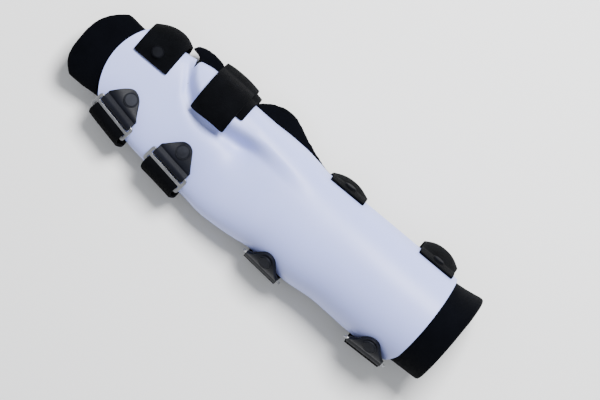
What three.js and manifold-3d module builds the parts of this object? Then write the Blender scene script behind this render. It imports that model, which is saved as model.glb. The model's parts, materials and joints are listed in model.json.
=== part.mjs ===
// Thumb wrist resting splint for the right hand: a moulded palmar shell with a felt-faced liner, held on by
// straps that are fixed on the thumb side and pass through metal slides on the little-finger side.
// It lies on the backs of its straps, palmar side up. +X runs to the fingers, +Y to the little-finger side.
// All lengths are in millimetres.
import * as THREE from 'three';
import { mergeVertices } from 'three/addons/utils/BufferGeometryUtils.js';
import Module from 'manifold-3d';

const wasm = await Module();
wasm.setup();

// Shell
const SHELL_LENGTH = 375;
const HALF_WIDTH = 50;
const CUFF_CREST = 84;
const CUFF_DEPTH = 50;
const SHELL_WALL = 3;
const FINGER_END_RADIUS = 63;
const FINGER_END_CENTRE = 0.23;
const FINGER_END_REACH = 42;
const CUFF_BULGE = 5;
const CUFF_CORNER = 5;
const SHELL_COLUMNS = 20;

// Thumb ridge, web groove, hollow and palm bump of the shell
const RIDGE_HEIGHT = 13;
const BANK_WIDTH = 17;
const GROOVE_DEPTH = 2.5;
const GROOVE_HALF_WIDTH = 7;
const HOLLOW_DEPTH = 5;
const HOLLOW_RADIUS = 15;
const BUMP_HEIGHT = 4;
const BUMP_RADIUS = 24;
const NOTCH_WIDTH = 6;
const NOTCH_DEPTH = 9;

// Liner
const LINER_THICKNESS = 5;
const LINER_GAP = 0.5;
const LINER_FINGER_OVERHANG = 29;
const LINER_CUFF_OVERHANG = 28;
const LINER_CORNER_DROP = 15;
const LINER_RADIAL_DROP = 26;
const LINER_EDGE = 2.5;

// Straps, tabs, slides and rivets
const STRAP_WIDTH = 38;
const STRAP_THICKNESS = 2.5;
const LOOP_CLEARANCE = 0.6;
const TAB_THICKNESS = 1.6;
const TAB_LENGTH = 24;
const TAB_APEX_RADIUS = 9;
const TAB_SHOULDER = 16.5;
const PINCH = 6.5;
const LOOP_STEPS = 8;
const LOOP_OPENING = Math.PI * 0.78;
const BAR_WIDTH = 3.2;
const BAR_THICKNESS = 2;
const BAR_PITCH = 7;
const SLIDE_END = 3;
const SLIDE_PLAY = 0.8;
const TAB_RIVET_RADIUS = 7;
const STRAP_RIVET_RADIUS = 6;
const RIVET_DOME = 1.6;
const RIVET_RIM = 0.8;
const SHANK_RADIUS = 2.2;
const RIVET_SIDES = 12;
const GAP = 0.3;

// Sections of the shell, from the liner's finger end to its cuff end. along is a share of SHELL_LENGTH from the
// shell's finger end, ulnar and radial are shares of HALF_WIDTH, crest of CUFF_CREST and depth of CUFF_DEPTH.
// power squares the arch: 2 is an ellipse, 3 a flat pan with rounded sides.
const SECTIONS = [
  { along: -0.085, ulnar: 0.67, radial: 0.99, crest: 0.5, depth: 0.2, power: 2.6 },
  { along: 0.0, ulnar: 0.665, radial: 0.975, crest: 0.478, depth: 0.26, power: 2.7 },
  { along: 0.042, ulnar: 0.675, radial: 0.975, crest: 0.47, depth: 0.3, power: 2.8 },
  { along: 0.08, ulnar: 0.76, radial: 1.01, crest: 0.466, depth: 0.33, power: 2.9 },
  { along: 0.148, ulnar: 0.89, radial: 1.058, crest: 0.47, depth: 0.36, power: 3.0 },
  { along: 0.22, ulnar: 0.965, radial: 1.15, crest: 0.486, depth: 0.4, power: 3.0 },
  { along: 0.345, ulnar: 1.005, radial: 1.12, crest: 0.54, depth: 0.48, power: 2.8 },
  { along: 0.414, ulnar: 1.06, radial: 1.107, crest: 0.598, depth: 0.58, power: 2.6 },
  { along: 0.46, ulnar: 1.045, radial: 1.116, crest: 0.645, depth: 0.66, power: 2.5 },
  { along: 0.508, ulnar: 1.01, radial: 1.107, crest: 0.695, depth: 0.72, power: 2.4 },
  { along: 0.556, ulnar: 0.96, radial: 1.065, crest: 0.738, depth: 0.78, power: 2.3 },
  { along: 0.6, ulnar: 0.98, radial: 1.022, crest: 0.772, depth: 0.82, power: 2.25 },
  { along: 0.664, ulnar: 1.01, radial: 1.035, crest: 0.818, depth: 0.86, power: 2.2 },
  { along: 0.758, ulnar: 0.95, radial: 1.04, crest: 0.882, depth: 0.92, power: 2.15 },
  { along: 0.868, ulnar: 0.975, radial: 1.037, crest: 0.946, depth: 0.97, power: 2.1 },
  { along: 1.0, ulnar: 0.945, radial: 1.03, crest: 1.0, depth: 1.0, power: 2.1 },
  { along: 1.08, ulnar: 0.92, radial: 1.13, crest: 1.03, depth: 1.03, power: 2.1 },
];

// Rows where the shell's lattice is cut, as shares of SHELL_LENGTH.
const SHELL_ROWS = [
  0, 0.03, 0.06, 0.09, 0.12, 0.15, 0.175, 0.195, 0.215, 0.24, 0.27, 0.3, 0.33, 0.36, 0.385, 0.41, 0.44, 0.47,
  0.5, 0.535, 0.57, 0.605, 0.65, 0.7, 0.78, 0.86, 0.93, 1,
];

// The web groove's line: across is a share of HALF_WIDTH towards the thumb. ridge is the share of RIDGE_HEIGHT
// that the thumb ridge stands there, and groove the share of GROOVE_DEPTH.
const GROOVE_LINE = [
  { along: 0.14, across: 1.0, ridge: 0, groove: 0 },
  { along: 0.168, across: 0.8, ridge: 0.35, groove: 0.6 },
  { along: 0.195, across: 0.55, ridge: 0.8, groove: 1 },
  { along: 0.242, across: 0.31, ridge: 1, groove: 1 },
  { along: 0.287, across: 0.22, ridge: 1, groove: 1 },
  { along: 0.333, across: 0.29, ridge: 1, groove: 1 },
  { along: 0.39, across: 0.34, ridge: 0.95, groove: 0.8 },
  { along: 0.436, across: 0.38, ridge: 0.7, groove: 0.3 },
  { along: 0.49, across: 0.36, ridge: 0.38, groove: 0 },
  { along: 0.56, across: 0.34, ridge: 0.1, groove: 0 },
  { along: 0.62, across: 0.34, ridge: 0, groove: 0 },
];
const HOLLOW = { along: 0.39, across: 0.33 };
const BUMP = { along: 0.304, across: -0.05 };
const NOTCH = { along: 0.172 };

// How far the liner stands out past the shell's thumb-side edge, as shares of FLARE_REACH.
const FLARE_REACH = 18;
const FLARE = [
  { along: 0.33, out: 0 },
  { along: 0.35, out: 0.38 },
  { along: 0.375, out: 0.67 },
  { along: 0.405, out: 0.98 },
  { along: 0.43, out: 1 },
  { along: 0.458, out: 0.83 },
  { along: 0.482, out: 0.57 },
  { along: 0.508, out: 0.36 },
  { along: 0.535, out: 0.22 },
  { along: 0.58, out: 0.05 },
  { along: 0.62, out: 0 },
];

// Thumb liner: its plan outline past the shell's thumb-side edge, out as a share of THUMB_LIP.
const THUMB_LIP = 11;
const THUMB_ROWS = [
  { along: 0.148, out: 0.1 },
  { along: 0.152, out: 0.55 },
  { along: 0.16, out: 0.75 },
  { along: 0.175, out: 0.95 },
  { along: 0.195, out: 1 },
  { along: 0.215, out: 1 },
  { along: 0.24, out: 0.6 },
  { along: 0.27, out: 0.3 },
  { along: 0.3, out: 0.3 },
  { along: 0.33, out: 0.4 },
];
const THUMB_SEAM_OFFSET = 5;
const THUMB_TIP_REACH = 30;
const THUMB_COLUMNS_SHARE = 0.55;

// Straps. root_along and slide_along place the two ends, as shares of SHELL_LENGTH. apex is the tab's point and
// root the strap's fixed end, as shares of HALF_WIDTH. leave is how far from the wall's edge the strap leaves it,
// bow how far it stands out past the wall, and turn the slide's turn on the wall in degrees.
// rivet_from_end is how far the strap's own rivet stands from its fixed end; 0 is a sewn end.
const STRAPS = [
  { name: 'finger', root_along: 0.083, slide_along: 0.109, apex: 0.09, root: 0.486, leave: 16, bow: 16, turn: 9,
    rivet_from_end: 11 },
  { name: 'hand', root_along: 0.279, slide_along: 0.287, apex: 0.2, root: 0.44, leave: 14, bow: 12, turn: 7,
    rivet_from_end: 0 },
  { name: 'wrist', root_along: 0.652, slide_along: 0.609, apex: 0.774, root: 0.94, leave: 4, bow: 10, turn: 0,
    rivet_from_end: 11 },
  { name: 'forearm', root_along: 0.928, slide_along: 0.93, apex: 0.738, root: 0.94, leave: 5, bow: 17, turn: 0,
    rivet_from_end: 11 },
];
// The folded-back end covers TAIL_SHARE of the run under the splint, which starts and ends FLOOR_INSET inside the
// shell's edges, at FLOOR_LEAD and 1 - FLOOR_LEAD of the way from the fixed end to the slide.
const TAIL_SHARE = 0.55;
const FLOOR_INSET = 16;
const FLOOR_LEAD = 0.2;
const STRAP_STEP = 14;
const BOW_ABOVE = 0.7;
const BOW_BELOW = 1.5;
const FOLD_LEAD = 3;
const RIDGE_EASE = 1.4;

const COLORS = {
  shell: 0xc9d1e4,
  felt: 0x0c0f16,
  strap: 0x15161b,
  tab: 0x2e3038,
  steel: 0xb9bcc2,
  rivet: 0x3b3d45,
};

const shellPlastic = new THREE.MeshStandardMaterial({ color: COLORS.shell, roughness: 0.45, metalness: 0 });
const felt = new THREE.MeshStandardMaterial({ color: COLORS.felt, roughness: 0.95, metalness: 0 });
const loopTape = new THREE.MeshStandardMaterial({ color: COLORS.strap, roughness: 0.9, metalness: 0 });
const vinyl = new THREE.MeshStandardMaterial({ color: COLORS.tab, roughness: 0.5, metalness: 0 });
const steel = new THREE.MeshStandardMaterial({ color: COLORS.steel, roughness: 0.25, metalness: 1 });
const rivetPaint = new THREE.MeshStandardMaterial({ color: COLORS.rivet, roughness: 0.4, metalness: 0.6 });

const OVERALL_LENGTH = LINER_FINGER_OVERHANG + SHELL_LENGTH + LINER_CUFF_OVERHANG;
const FINGER_END_X = OVERALL_LENGTH / 2 - LINER_FINGER_OVERHANG;

const clamp01 = (q) => Math.min(1, Math.max(0, q));
const smooth = (q) => clamp01(q) ** 2 * (3 - 2 * clamp01(q));
const mix = (a, b, q) => a + (b - a) * q;
const bell = (q) => Math.exp(-q * q);

// A smooth value of one column of a table at a place along the arm.
function readTable(table, column, along) {
  const last = table.length - 1;
  if (along <= table[0].along) return table[0][column];
  if (along >= table[last].along) return table[last][column];
  let i = 0;
  while (table[i + 1].along < along) i++;
  const slopeAt = (k) => {
    if (k === 0 || k === last) return 0;
    const before = (table[k][column] - table[k - 1][column]) / (table[k].along - table[k - 1].along);
    const after = (table[k + 1][column] - table[k][column]) / (table[k + 1].along - table[k].along);
    return before * after <= 0 ? 0 : (2 * before * after) / (before + after);
  };
  const span = table[i + 1].along - table[i].along;
  const q = (along - table[i].along) / span;
  const [y0, y1] = [table[i][column], table[i + 1][column]];
  const [m0, m1] = [slopeAt(i) * span, slopeAt(i + 1) * span];
  return (
    y0 * (1 + 2 * q) * (1 - q) ** 2 + m0 * q * (1 - q) ** 2 + y1 * q * q * (3 - 2 * q) + m1 * q * q * (q - 1)
  );
}

// Height that the thumb ridge, groove, hollow and bump add to the plain arch. y is to the little-finger side.
function relief(along, y) {
  const toThumb = -y - readTable(GROOVE_LINE, 'across', along) * HALF_WIDTH;
  const ridge = RIDGE_HEIGHT * readTable(GROOVE_LINE, 'ridge', along) * smooth(toThumb / BANK_WIDTH);
  const groove = GROOVE_DEPTH * readTable(GROOVE_LINE, 'groove', along) * bell(toThumb / GROOVE_HALF_WIDTH);
  const far = (spot, radius) =>
    Math.hypot((along - spot.along) * SHELL_LENGTH, -y - spot.across * HALF_WIDTH) / radius;
  const spots = BUMP_HEIGHT * bell(far(BUMP, BUMP_RADIUS)) - HOLLOW_DEPTH * bell(far(HOLLOW, HOLLOW_RADIUS));
  return ridge - groove + spots;
}

// One section of the shell's outer face: points from the little-finger edge over the crest to the thumb edge,
// with the arc length to each. Sections are kept, because every piece asks for them.
const SECTION_STEPS = 120;
const sections = new Map();
function sectionAt(along) {
  const key = along.toFixed(6);
  if (sections.has(key)) return sections.get(key);
  const row = Object.fromEntries(
    ['ulnar', 'radial', 'crest', 'depth', 'power'].map((column) => [column, readTable(SECTIONS, column, along)]),
  );
  const half = ((row.ulnar + row.radial) / 2) * HALF_WIDTH;
  const middle = ((row.ulnar - row.radial) / 2) * HALF_WIDTH;
  const depth = row.depth * CUFF_DEPTH;
  const points = [];
  const arcs = [0];
  for (let i = 0; i <= SECTION_STEPS; i++) {
    const angle = (i / SECTION_STEPS - 0.5) * Math.PI;
    const side = Math.sign(Math.sin(angle)) * Math.abs(Math.sin(angle)) ** (2 / row.power);
    const rise = Math.max(0, Math.cos(angle)) ** (2 / row.power);
    const y = middle - half * side;
    const z = row.crest * CUFF_CREST - depth * (1 - rise) + relief(along, y) * smooth(rise / 0.8);
    points.push(new THREE.Vector2(y, z));
    if (i > 0) arcs.push(arcs[i - 1] + points[i].distanceTo(points[i - 1]));
  }
  const section = { points, arcs, length: arcs[SECTION_STEPS] };
  sections.set(key, section);
  return section;
}

// The arc length, from the little-finger edge, at which a section reaches a distance across the arm.
function arcAcross(along, y) {
  const { points, arcs } = sectionAt(along);
  let i = 0;
  while (i < SECTION_STEPS - 1 && points[i + 1].x > y) i++;
  return mix(arcs[i], arcs[i + 1], clamp01((points[i].x - y) / (points[i].x - points[i + 1].x)));
}

// A point at an arc length from the little-finger edge, lifted off the shell's outer face. Past either edge the
// wall's line goes on straight.
function onWall(along, arc, lift) {
  const { points, arcs, length } = sectionAt(along);
  const inside = Math.min(length, Math.max(0, arc));
  let i = 0;
  while (i < SECTION_STEPS - 1 && arcs[i + 1] < inside) i++;
  const q = (inside - arcs[i]) / (arcs[i + 1] - arcs[i]);
  const heading = (k) =>
    points[Math.min(SECTION_STEPS, k + 1)].clone().sub(points[Math.max(0, k - 1)]).normalize();
  const tangent = heading(i).lerp(heading(i + 1), q).normalize();
  const foot = points[i].clone().lerp(points[i + 1], q).addScaledVector(tangent, arc - inside);
  const outward = new THREE.Vector2(tangent.y, -tangent.x).multiplyScalar(-1);
  const place = foot.addScaledVector(outward, -lift);
  return new THREE.Vector3(FINGER_END_X - along * SHELL_LENGTH, place.x, place.y);
}

// How far the shell's finger end stands back from its tip at a distance across, and the cuff end from its bulge.
function fingerEndBack(y) {
  const off = Math.min(FINGER_END_RADIUS * 0.98, Math.abs(-y - FINGER_END_CENTRE * HALF_WIDTH));
  return FINGER_END_RADIUS - Math.sqrt(FINGER_END_RADIUS ** 2 - off ** 2);
}
function cuffEndBack(y) {
  const corner = smooth((y - 0.7 * HALF_WIDTH) / (0.3 * HALF_WIDTH)) * CUFF_CORNER;
  return (y / HALF_WIDTH) ** 2 * CUFF_BULGE * 0.5 + corner;
}

// Where a lattice row crosses a column: rows near the two ends bend to follow the shell's end edges.
function bentAlong(row, share) {
  const y = onWall(row, share * sectionAt(row).length, 0).y;
  const finger = fingerEndBack(y) * smooth(1 - (row * SHELL_LENGTH) / FINGER_END_REACH);
  const cuff = cuffEndBack(y) * smooth(1 - ((1 - row) * SHELL_LENGTH) / FINGER_END_REACH);
  return row + (finger - cuff) / SHELL_LENGTH;
}

// A point of the lattice on the shell's outer face, lifted along its in-section normal.
function latticePoint(row, share, lift) {
  const along = bentAlong(row, share);
  return onWall(along, share * sectionAt(along).length, lift);
}

// Closed solid from a grid of points and the same grid moved through the thickness.
function solidFromGrids(upper, lower) {
  const rows = upper.length;
  const columns = upper[0].length;
  const position = [...upper.flat(), ...lower.flat()].flatMap((p) => [p.x, p.y, p.z]);
  const index = [];
  const at = (side, r, c) => side * rows * columns + r * columns + c;
  const quad = (a, b, c, d) => index.push(a, b, c, a, c, d);
  for (let r = 0; r < rows - 1; r++) {
    for (let c = 0; c < columns - 1; c++) {
      quad(at(0, r, c), at(0, r, c + 1), at(0, r + 1, c + 1), at(0, r + 1, c));
      quad(at(1, r, c), at(1, r + 1, c), at(1, r + 1, c + 1), at(1, r, c + 1));
    }
    quad(at(0, r, 0), at(0, r + 1, 0), at(1, r + 1, 0), at(1, r, 0));
    quad(at(0, r, columns - 1), at(1, r, columns - 1), at(1, r + 1, columns - 1), at(0, r + 1, columns - 1));
  }
  for (let c = 0; c < columns - 1; c++) {
    quad(at(0, 0, c), at(1, 0, c), at(1, 0, c + 1), at(0, 0, c + 1));
    quad(at(0, rows - 1, c), at(0, rows - 1, c + 1), at(1, rows - 1, c + 1), at(1, rows - 1, c));
  }
  const geometry = new THREE.BufferGeometry();
  geometry.setAttribute('position', new THREE.Float32BufferAttribute(position, 3));
  geometry.setIndex(index);
  return facingOut(geometry);
}

// Turns every face round if the closed mesh holds a negative volume.
function facingOut(geometry) {
  const p = geometry.getAttribute('position');
  const index = geometry.index.array;
  const corner = (k) => new THREE.Vector3().fromBufferAttribute(p, index[k]);
  let volume = 0;
  for (let k = 0; k < index.length; k += 3) volume += corner(k).dot(corner(k + 1).cross(corner(k + 2)));
  if (volume < 0) {
    for (let k = 0; k < index.length; k += 3) [index[k + 1], index[k + 2]] = [index[k + 2], index[k + 1]];
  }
  return geometry;
}

// The grid's normals, from its neighbours along and across.
function gridNormals(grid) {
  return grid.map((line, r) =>
    line.map((_, c) => {
      const down = grid[Math.min(grid.length - 1, r + 1)][c].clone().sub(grid[Math.max(0, r - 1)][c]);
      const across = line[Math.min(line.length - 1, c + 1)].clone().sub(line[Math.max(0, c - 1)]);
      return down.cross(across).normalize();
    }),
  );
}

// A sheet of even thickness about a grid of points, from -below to +above along the grid's normals.
function sheetFromGrid(grid, above, below) {
  const normals = gridNormals(grid);
  const moved = (distance) =>
    grid.map((line, r) => line.map((p, c) => p.clone().addScaledVector(normals[r][c], distance)));
  return solidFromGrids(moved(above), moved(-below));
}

// Booleans on closed meshes.
function toSolid(geometry) {
  const bare = geometry.clone();
  bare.deleteAttribute('normal');
  bare.deleteAttribute('uv');
  const merged = mergeVertices(bare, 1e-4);
  return new wasm.Manifold(
    new wasm.Mesh({
      numProp: 3,
      vertProperties: merged.getAttribute('position').array,
      triVerts: new Uint32Array(merged.index.array),
    }),
  );
}
function toGeometry(solid) {
  const mesh = solid.getMesh();
  const geometry = new THREE.BufferGeometry();
  geometry.setAttribute('position', new THREE.Float32BufferAttribute(mesh.vertProperties, 3));
  geometry.setIndex([...mesh.triVerts]);
  return geometry;
}

// A prism over a plan outline, from below the splint to above it.
function planPrism(outline) {
  const shape = new THREE.Shape(outline.map((p) => new THREE.Vector2(p.x, p.y)));
  const prism = new THREE.ExtrudeGeometry(shape, { depth: 3 * CUFF_CREST, bevelEnabled: false });
  return toSolid(prism.translate(0, 0, -CUFF_CREST));
}

function shellShape() {
  const shares = Array.from({ length: SHELL_COLUMNS + 1 }, (_, c) => c / SHELL_COLUMNS);
  const outer = SHELL_ROWS.map((row) => shares.map((share) => latticePoint(row, share, 0)));
  const inner = SHELL_ROWS.map((row) => shares.map((share) => latticePoint(row, share, -SHELL_WALL)));
  return toSolid(solidFromGrids(outer, inner));
}

// A small cut between the finger pan's thumb-side edge and the tip of the thumb gutter.
function notchPrism() {
  const x = FINGER_END_X - NOTCH.along * SHELL_LENGTH;
  const edge = onWall(NOTCH.along, sectionAt(NOTCH.along).length, 0).y;
  return planPrism([
    { x: x + NOTCH_WIDTH, y: edge - HALF_WIDTH },
    { x: x + NOTCH_WIDTH / 2, y: edge },
    { x, y: edge + NOTCH_DEPTH },
    { x: x - NOTCH_WIDTH / 2, y: edge },
    { x: x - NOTCH_WIDTH, y: edge - HALF_WIDTH },
  ]);
}

// The plan line between the palm's liner and the thumb's: it follows the web groove, a little to its thumb side.
function thumbSeam(offset) {
  const rows = THUMB_ROWS.filter((row) => row.along > 0.17);
  return rows.map(({ along }) => ({
    x: FINGER_END_X - along * SHELL_LENGTH,
    y: -readTable(GROOVE_LINE, 'across', along) * HALF_WIDTH - THUMB_SEAM_OFFSET - offset,
  }));
}

// The liner follows the shell's inner face, and its two long edges go on past the shell's edges as a lip that
// bends outwards by a given reach.
const LIP_STEPS = [0.34, 0.67, 1];
function linerLine(along, shares, inset, flare) {
  const { length } = sectionAt(along);
  const line = shares.map((share) => onWall(along, share * length, -inset));
  const low = onWall(along, 0, -inset);
  const high = onWall(along, length, -inset);
  const lip = (edge, sign, reach, q) => {
    const out = (reach + inset) * smooth(q) * (reach > 0 ? 1 : 0);
    const down = LINER_EDGE * q + Math.max(0, reach) * 0.3 * q;
    return new THREE.Vector3(edge.x, edge.y + sign * out, edge.z - down);
  };
  return [
    lip(low, 1, 0, 1),
    ...line,
    ...LIP_STEPS.map((q) => lip(high, -1, flare, q)),
  ];
}

function linerShape() {
  const inset = SHELL_WALL + LINER_GAP;
  const shares = Array.from({ length: SHELL_COLUMNS + 1 }, (_, c) => c / SHELL_COLUMNS);
  const fingerRow = -LINER_FINGER_OVERHANG / SHELL_LENGTH;
  const cuffRow = LINER_CUFF_OVERHANG / SHELL_LENGTH;
  const rows = [
    ...[0, 0.3, 0.65].map((q) => ({ row: 0, beyond: fingerRow * (1 - q), end: 1 - q })),
    ...SHELL_ROWS.map((row) => ({ row, beyond: 0, end: 0 })),
    ...[0.5, 1].map((q) => ({ row: 1, beyond: cuffRow * q, end: q })),
  ];
  const grid = rows.map(({ row, beyond, end }) => {
    const flare = readTable(FLARE, 'out', row) * FLARE_REACH;
    const perShare = shares.map((share) => {
      let along = bentAlong(row, share) + beyond;
      if (row === 0 && end > 0) {
        const y = -onWall(0, share * sectionAt(0).length, -inset).y / HALF_WIDTH;
        const own = y < 0.05
          ? LINER_CORNER_DROP * clamp01((0.05 - y) / 0.68) ** 4
          : LINER_RADIAL_DROP * clamp01((y - 0.05) / 0.94) ** 2.8;
        const tip = fingerRow + own / SHELL_LENGTH;
        along = mix(bentAlong(0, share), tip, end);
      }
      if (row === 1 && end > 0) along = mix(bentAlong(1, share), 1 + cuffRow, end);
      return along;
    });
    const points = shares.map((share, c) =>
      onWall(perShare[c], share * sectionAt(perShare[c]).length, -inset),
    );
    const lipLow = linerLine(perShare[0], [0], inset, 0);
    const lipHigh = linerLine(perShare[SHELL_COLUMNS], [1], inset, flare);
    return [lipLow[0], ...points, ...lipHigh.slice(2)];
  });
  return toSolid(sheetFromGrid(grid, 0, LINER_THICKNESS));
}

function thumbLinerShape() {
  const inset = SHELL_WALL + LINER_GAP;
  const columns = Math.round(SHELL_COLUMNS * THUMB_COLUMNS_SHARE);
  const shares = Array.from({ length: columns + 1 }, (_, c) => 1 - (columns - c) / SHELL_COLUMNS);
  const grid = THUMB_ROWS.map(({ along, out }) => linerLine(along, shares, inset, out * THUMB_LIP).slice(1));
  return toSolid(sheetFromGrid(grid, 0, LINER_THICKNESS));
}

// A rigid frame on the wall: origin, along the arm to the cuff, down the wall and outwards.
function wallFrame(along, arc, lift, turn) {
  const origin = onWall(along, arc, 0);
  const step = 2;
  const down = onWall(along, arc - step, 0).sub(onWall(along, arc + step, 0)).normalize();
  const cuffward = onWall(along + step / SHELL_LENGTH, arc, 0)
    .sub(onWall(along - step / SHELL_LENGTH, arc, 0))
    .normalize();
  const out = new THREE.Vector3().crossVectors(down, cuffward).normalize();
  if (out.dot(onWall(along, arc, 1).sub(origin)) < 0) out.negate();
  const side = new THREE.Vector3().crossVectors(out, down).normalize();
  if (side.x > 0) side.negate();
  const angle = THREE.MathUtils.degToRad(turn);
  const u = side.clone().multiplyScalar(Math.cos(angle)).addScaledVector(down, Math.sin(angle));
  const w = down.clone().multiplyScalar(Math.cos(angle)).addScaledVector(side, -Math.sin(angle));
  origin.addScaledVector(out, lift);
  return {
    u,
    w,
    point: (a, b, c) => origin.clone().addScaledVector(u, a).addScaledVector(w, b).addScaledVector(out, c),
    matrix: () => {
      const right = new THREE.Vector3().crossVectors(w, out);
      return new THREE.Matrix4().makeBasis(right, w, out).setPosition(origin);
    },
  };
}

// Heights over the shell's face: the strap passes under the slide's bars and folds back over the outer one.
const FOLD_RADIUS = BAR_THICKNESS / 2 + LOOP_CLEARANCE + STRAP_THICKNESS / 2 + 0.25;
const BAR_LIFT = GAP + STRAP_THICKNESS / 2 + FOLD_RADIUS + 0.15;
const LOOP_RADIUS = BAR_THICKNESS / 2 + LOOP_CLEARANCE + TAB_THICKNESS / 2 + 0.4;
const LAYER = STRAP_THICKNESS + GAP;

// The slide's frame for a strap, and the tab's own place on the wall.
function fastener(strap) {
  const apexArc = arcAcross(strap.slide_along, strap.apex * HALF_WIDTH);
  const turn = THREE.MathUtils.degToRad(strap.turn);
  const rivetArc = apexArc - TAB_APEX_RADIUS * 0.85;
  const reach = TAB_LENGTH - TAB_APEX_RADIUS * 0.85 + BAR_PITCH;
  const slideAlong = strap.slide_along - (reach * Math.sin(turn)) / SHELL_LENGTH;
  const slideArc = rivetArc - reach * Math.cos(turn);
  return {
    rivet: { along: strap.slide_along, arc: rivetArc },
    slide: { along: slideAlong, arc: slideArc },
    frame: wallFrame(slideAlong, slideArc, BAR_LIFT, strap.turn),
    turn,
    reach,
  };
}

function slideShape(strap) {
  const { frame } = fastener(strap);
  const inside = STRAP_WIDTH / 2 + SLIDE_PLAY;
  const ends = inside + SLIDE_END;
  const half = BAR_PITCH + BAR_WIDTH / 2;
  const corner = 3;
  const outline = new THREE.Shape();
  outline.moveTo(-ends + corner, -half);
  outline.lineTo(ends - corner, -half);
  outline.absarc(ends - corner, -half + corner, corner, -Math.PI / 2, 0);
  outline.lineTo(ends, half - corner);
  outline.absarc(ends - corner, half - corner, corner, 0, Math.PI / 2);
  outline.lineTo(-ends + corner, half);
  outline.absarc(-ends + corner, half - corner, corner, Math.PI / 2, Math.PI);
  outline.lineTo(-ends, -half + corner);
  outline.absarc(-ends + corner, -half + corner, corner, Math.PI, Math.PI * 1.5);
  for (const side of [-1, 1]) {
    const near = side * (BAR_WIDTH / 2);
    const far = side * (BAR_PITCH - BAR_WIDTH / 2);
    const window = new THREE.Path();
    window.moveTo(-inside, near);
    window.lineTo(inside, near);
    window.lineTo(inside, far);
    window.lineTo(-inside, far);
    outline.holes.push(window);
  }
  const plate = new THREE.ExtrudeGeometry(outline, { depth: BAR_THICKNESS, bevelEnabled: false, curveSegments: 3 });
  plate.translate(0, 0, -BAR_THICKNESS / 2);
  plate.applyMatrix4(frame.matrix());
  return toSolid(plate);
}

// The tab's outline: how far up from the inner bar it reaches at a distance from its middle line.
function tabReach(u) {
  const half = STRAP_WIDTH / 2;
  const a = Math.abs(u);
  const arcEdge = TAB_APEX_RADIUS * 0.8;
  const centre = TAB_LENGTH - TAB_APEX_RADIUS;
  const onArc = centre + Math.sqrt(Math.max(0, TAB_APEX_RADIUS ** 2 - a ** 2));
  if (a <= arcEdge) return onArc;
  const arcEnd = centre + Math.sqrt(TAB_APEX_RADIUS ** 2 - arcEdge ** 2);
  const shoulder = TAB_LENGTH - TAB_SHOULDER;
  return mix(arcEnd, shoulder, (a - arcEdge) / (half - arcEdge));
}

// The tab is one strip of vinyl folded round the slide's inner bar, both ends under the rivet.
function tabShape(strap) {
  const { slide, frame, turn } = fastener(strap);
  const stations = [-1, -0.66, -0.36, -0.18, 0, 0.18, 0.36, 0.66, 1].map((q) => (q * STRAP_WIDTH) / 2);
  const lowLift = 2 * GAP + TAB_THICKNESS / 2;
  const highLift = lowLift + TAB_THICKNESS + GAP;
  const place = (u, w, lift) => {
    const along = slide.along + (u * Math.cos(turn) - w * Math.sin(turn)) / SHELL_LENGTH;
    const arc = slide.arc - w * Math.cos(turn) - u * Math.sin(turn);
    const onShell = onWall(along, arc, lift);
    const onSlide = frame.point(u, w, lift - BAR_LIFT);
    return onShell.lerp(onSlide, smooth((w + BAR_PITCH + PINCH) / (PINCH - LOOP_RADIUS - 0.8)));
  };
  const grid = stations.map((u) => {
    const top = -BAR_PITCH - tabReach(u);
    const line = [];
    for (const q of [0, 0.35, 0.7, 1]) line.push(place(u, mix(top, -BAR_PITCH - PINCH, q), highLift));
    for (let i = 0; i <= LOOP_STEPS; i++) {
      const angle = LOOP_OPENING * (1 - (2 * i) / LOOP_STEPS);
      const w = -BAR_PITCH + Math.cos(angle) * (LOOP_RADIUS + 0.4);
      line.push(place(u, w, BAR_LIFT + Math.sin(angle) * LOOP_RADIUS));
    }
    for (const q of [1, 0.7, 0.35, 0]) line.push(place(u, mix(top, -BAR_PITCH - PINCH, q), lowLift));
    return line;
  });
  return toSolid(sheetFromGrid(grid, TAB_THICKNESS / 2, TAB_THICKNESS / 2));
}

function bezier(p0, p1, p2, p3, steps) {
  return new THREE.CubicBezierCurve3(p0, p1, p2, p3).getPoints(steps);
}

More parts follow.
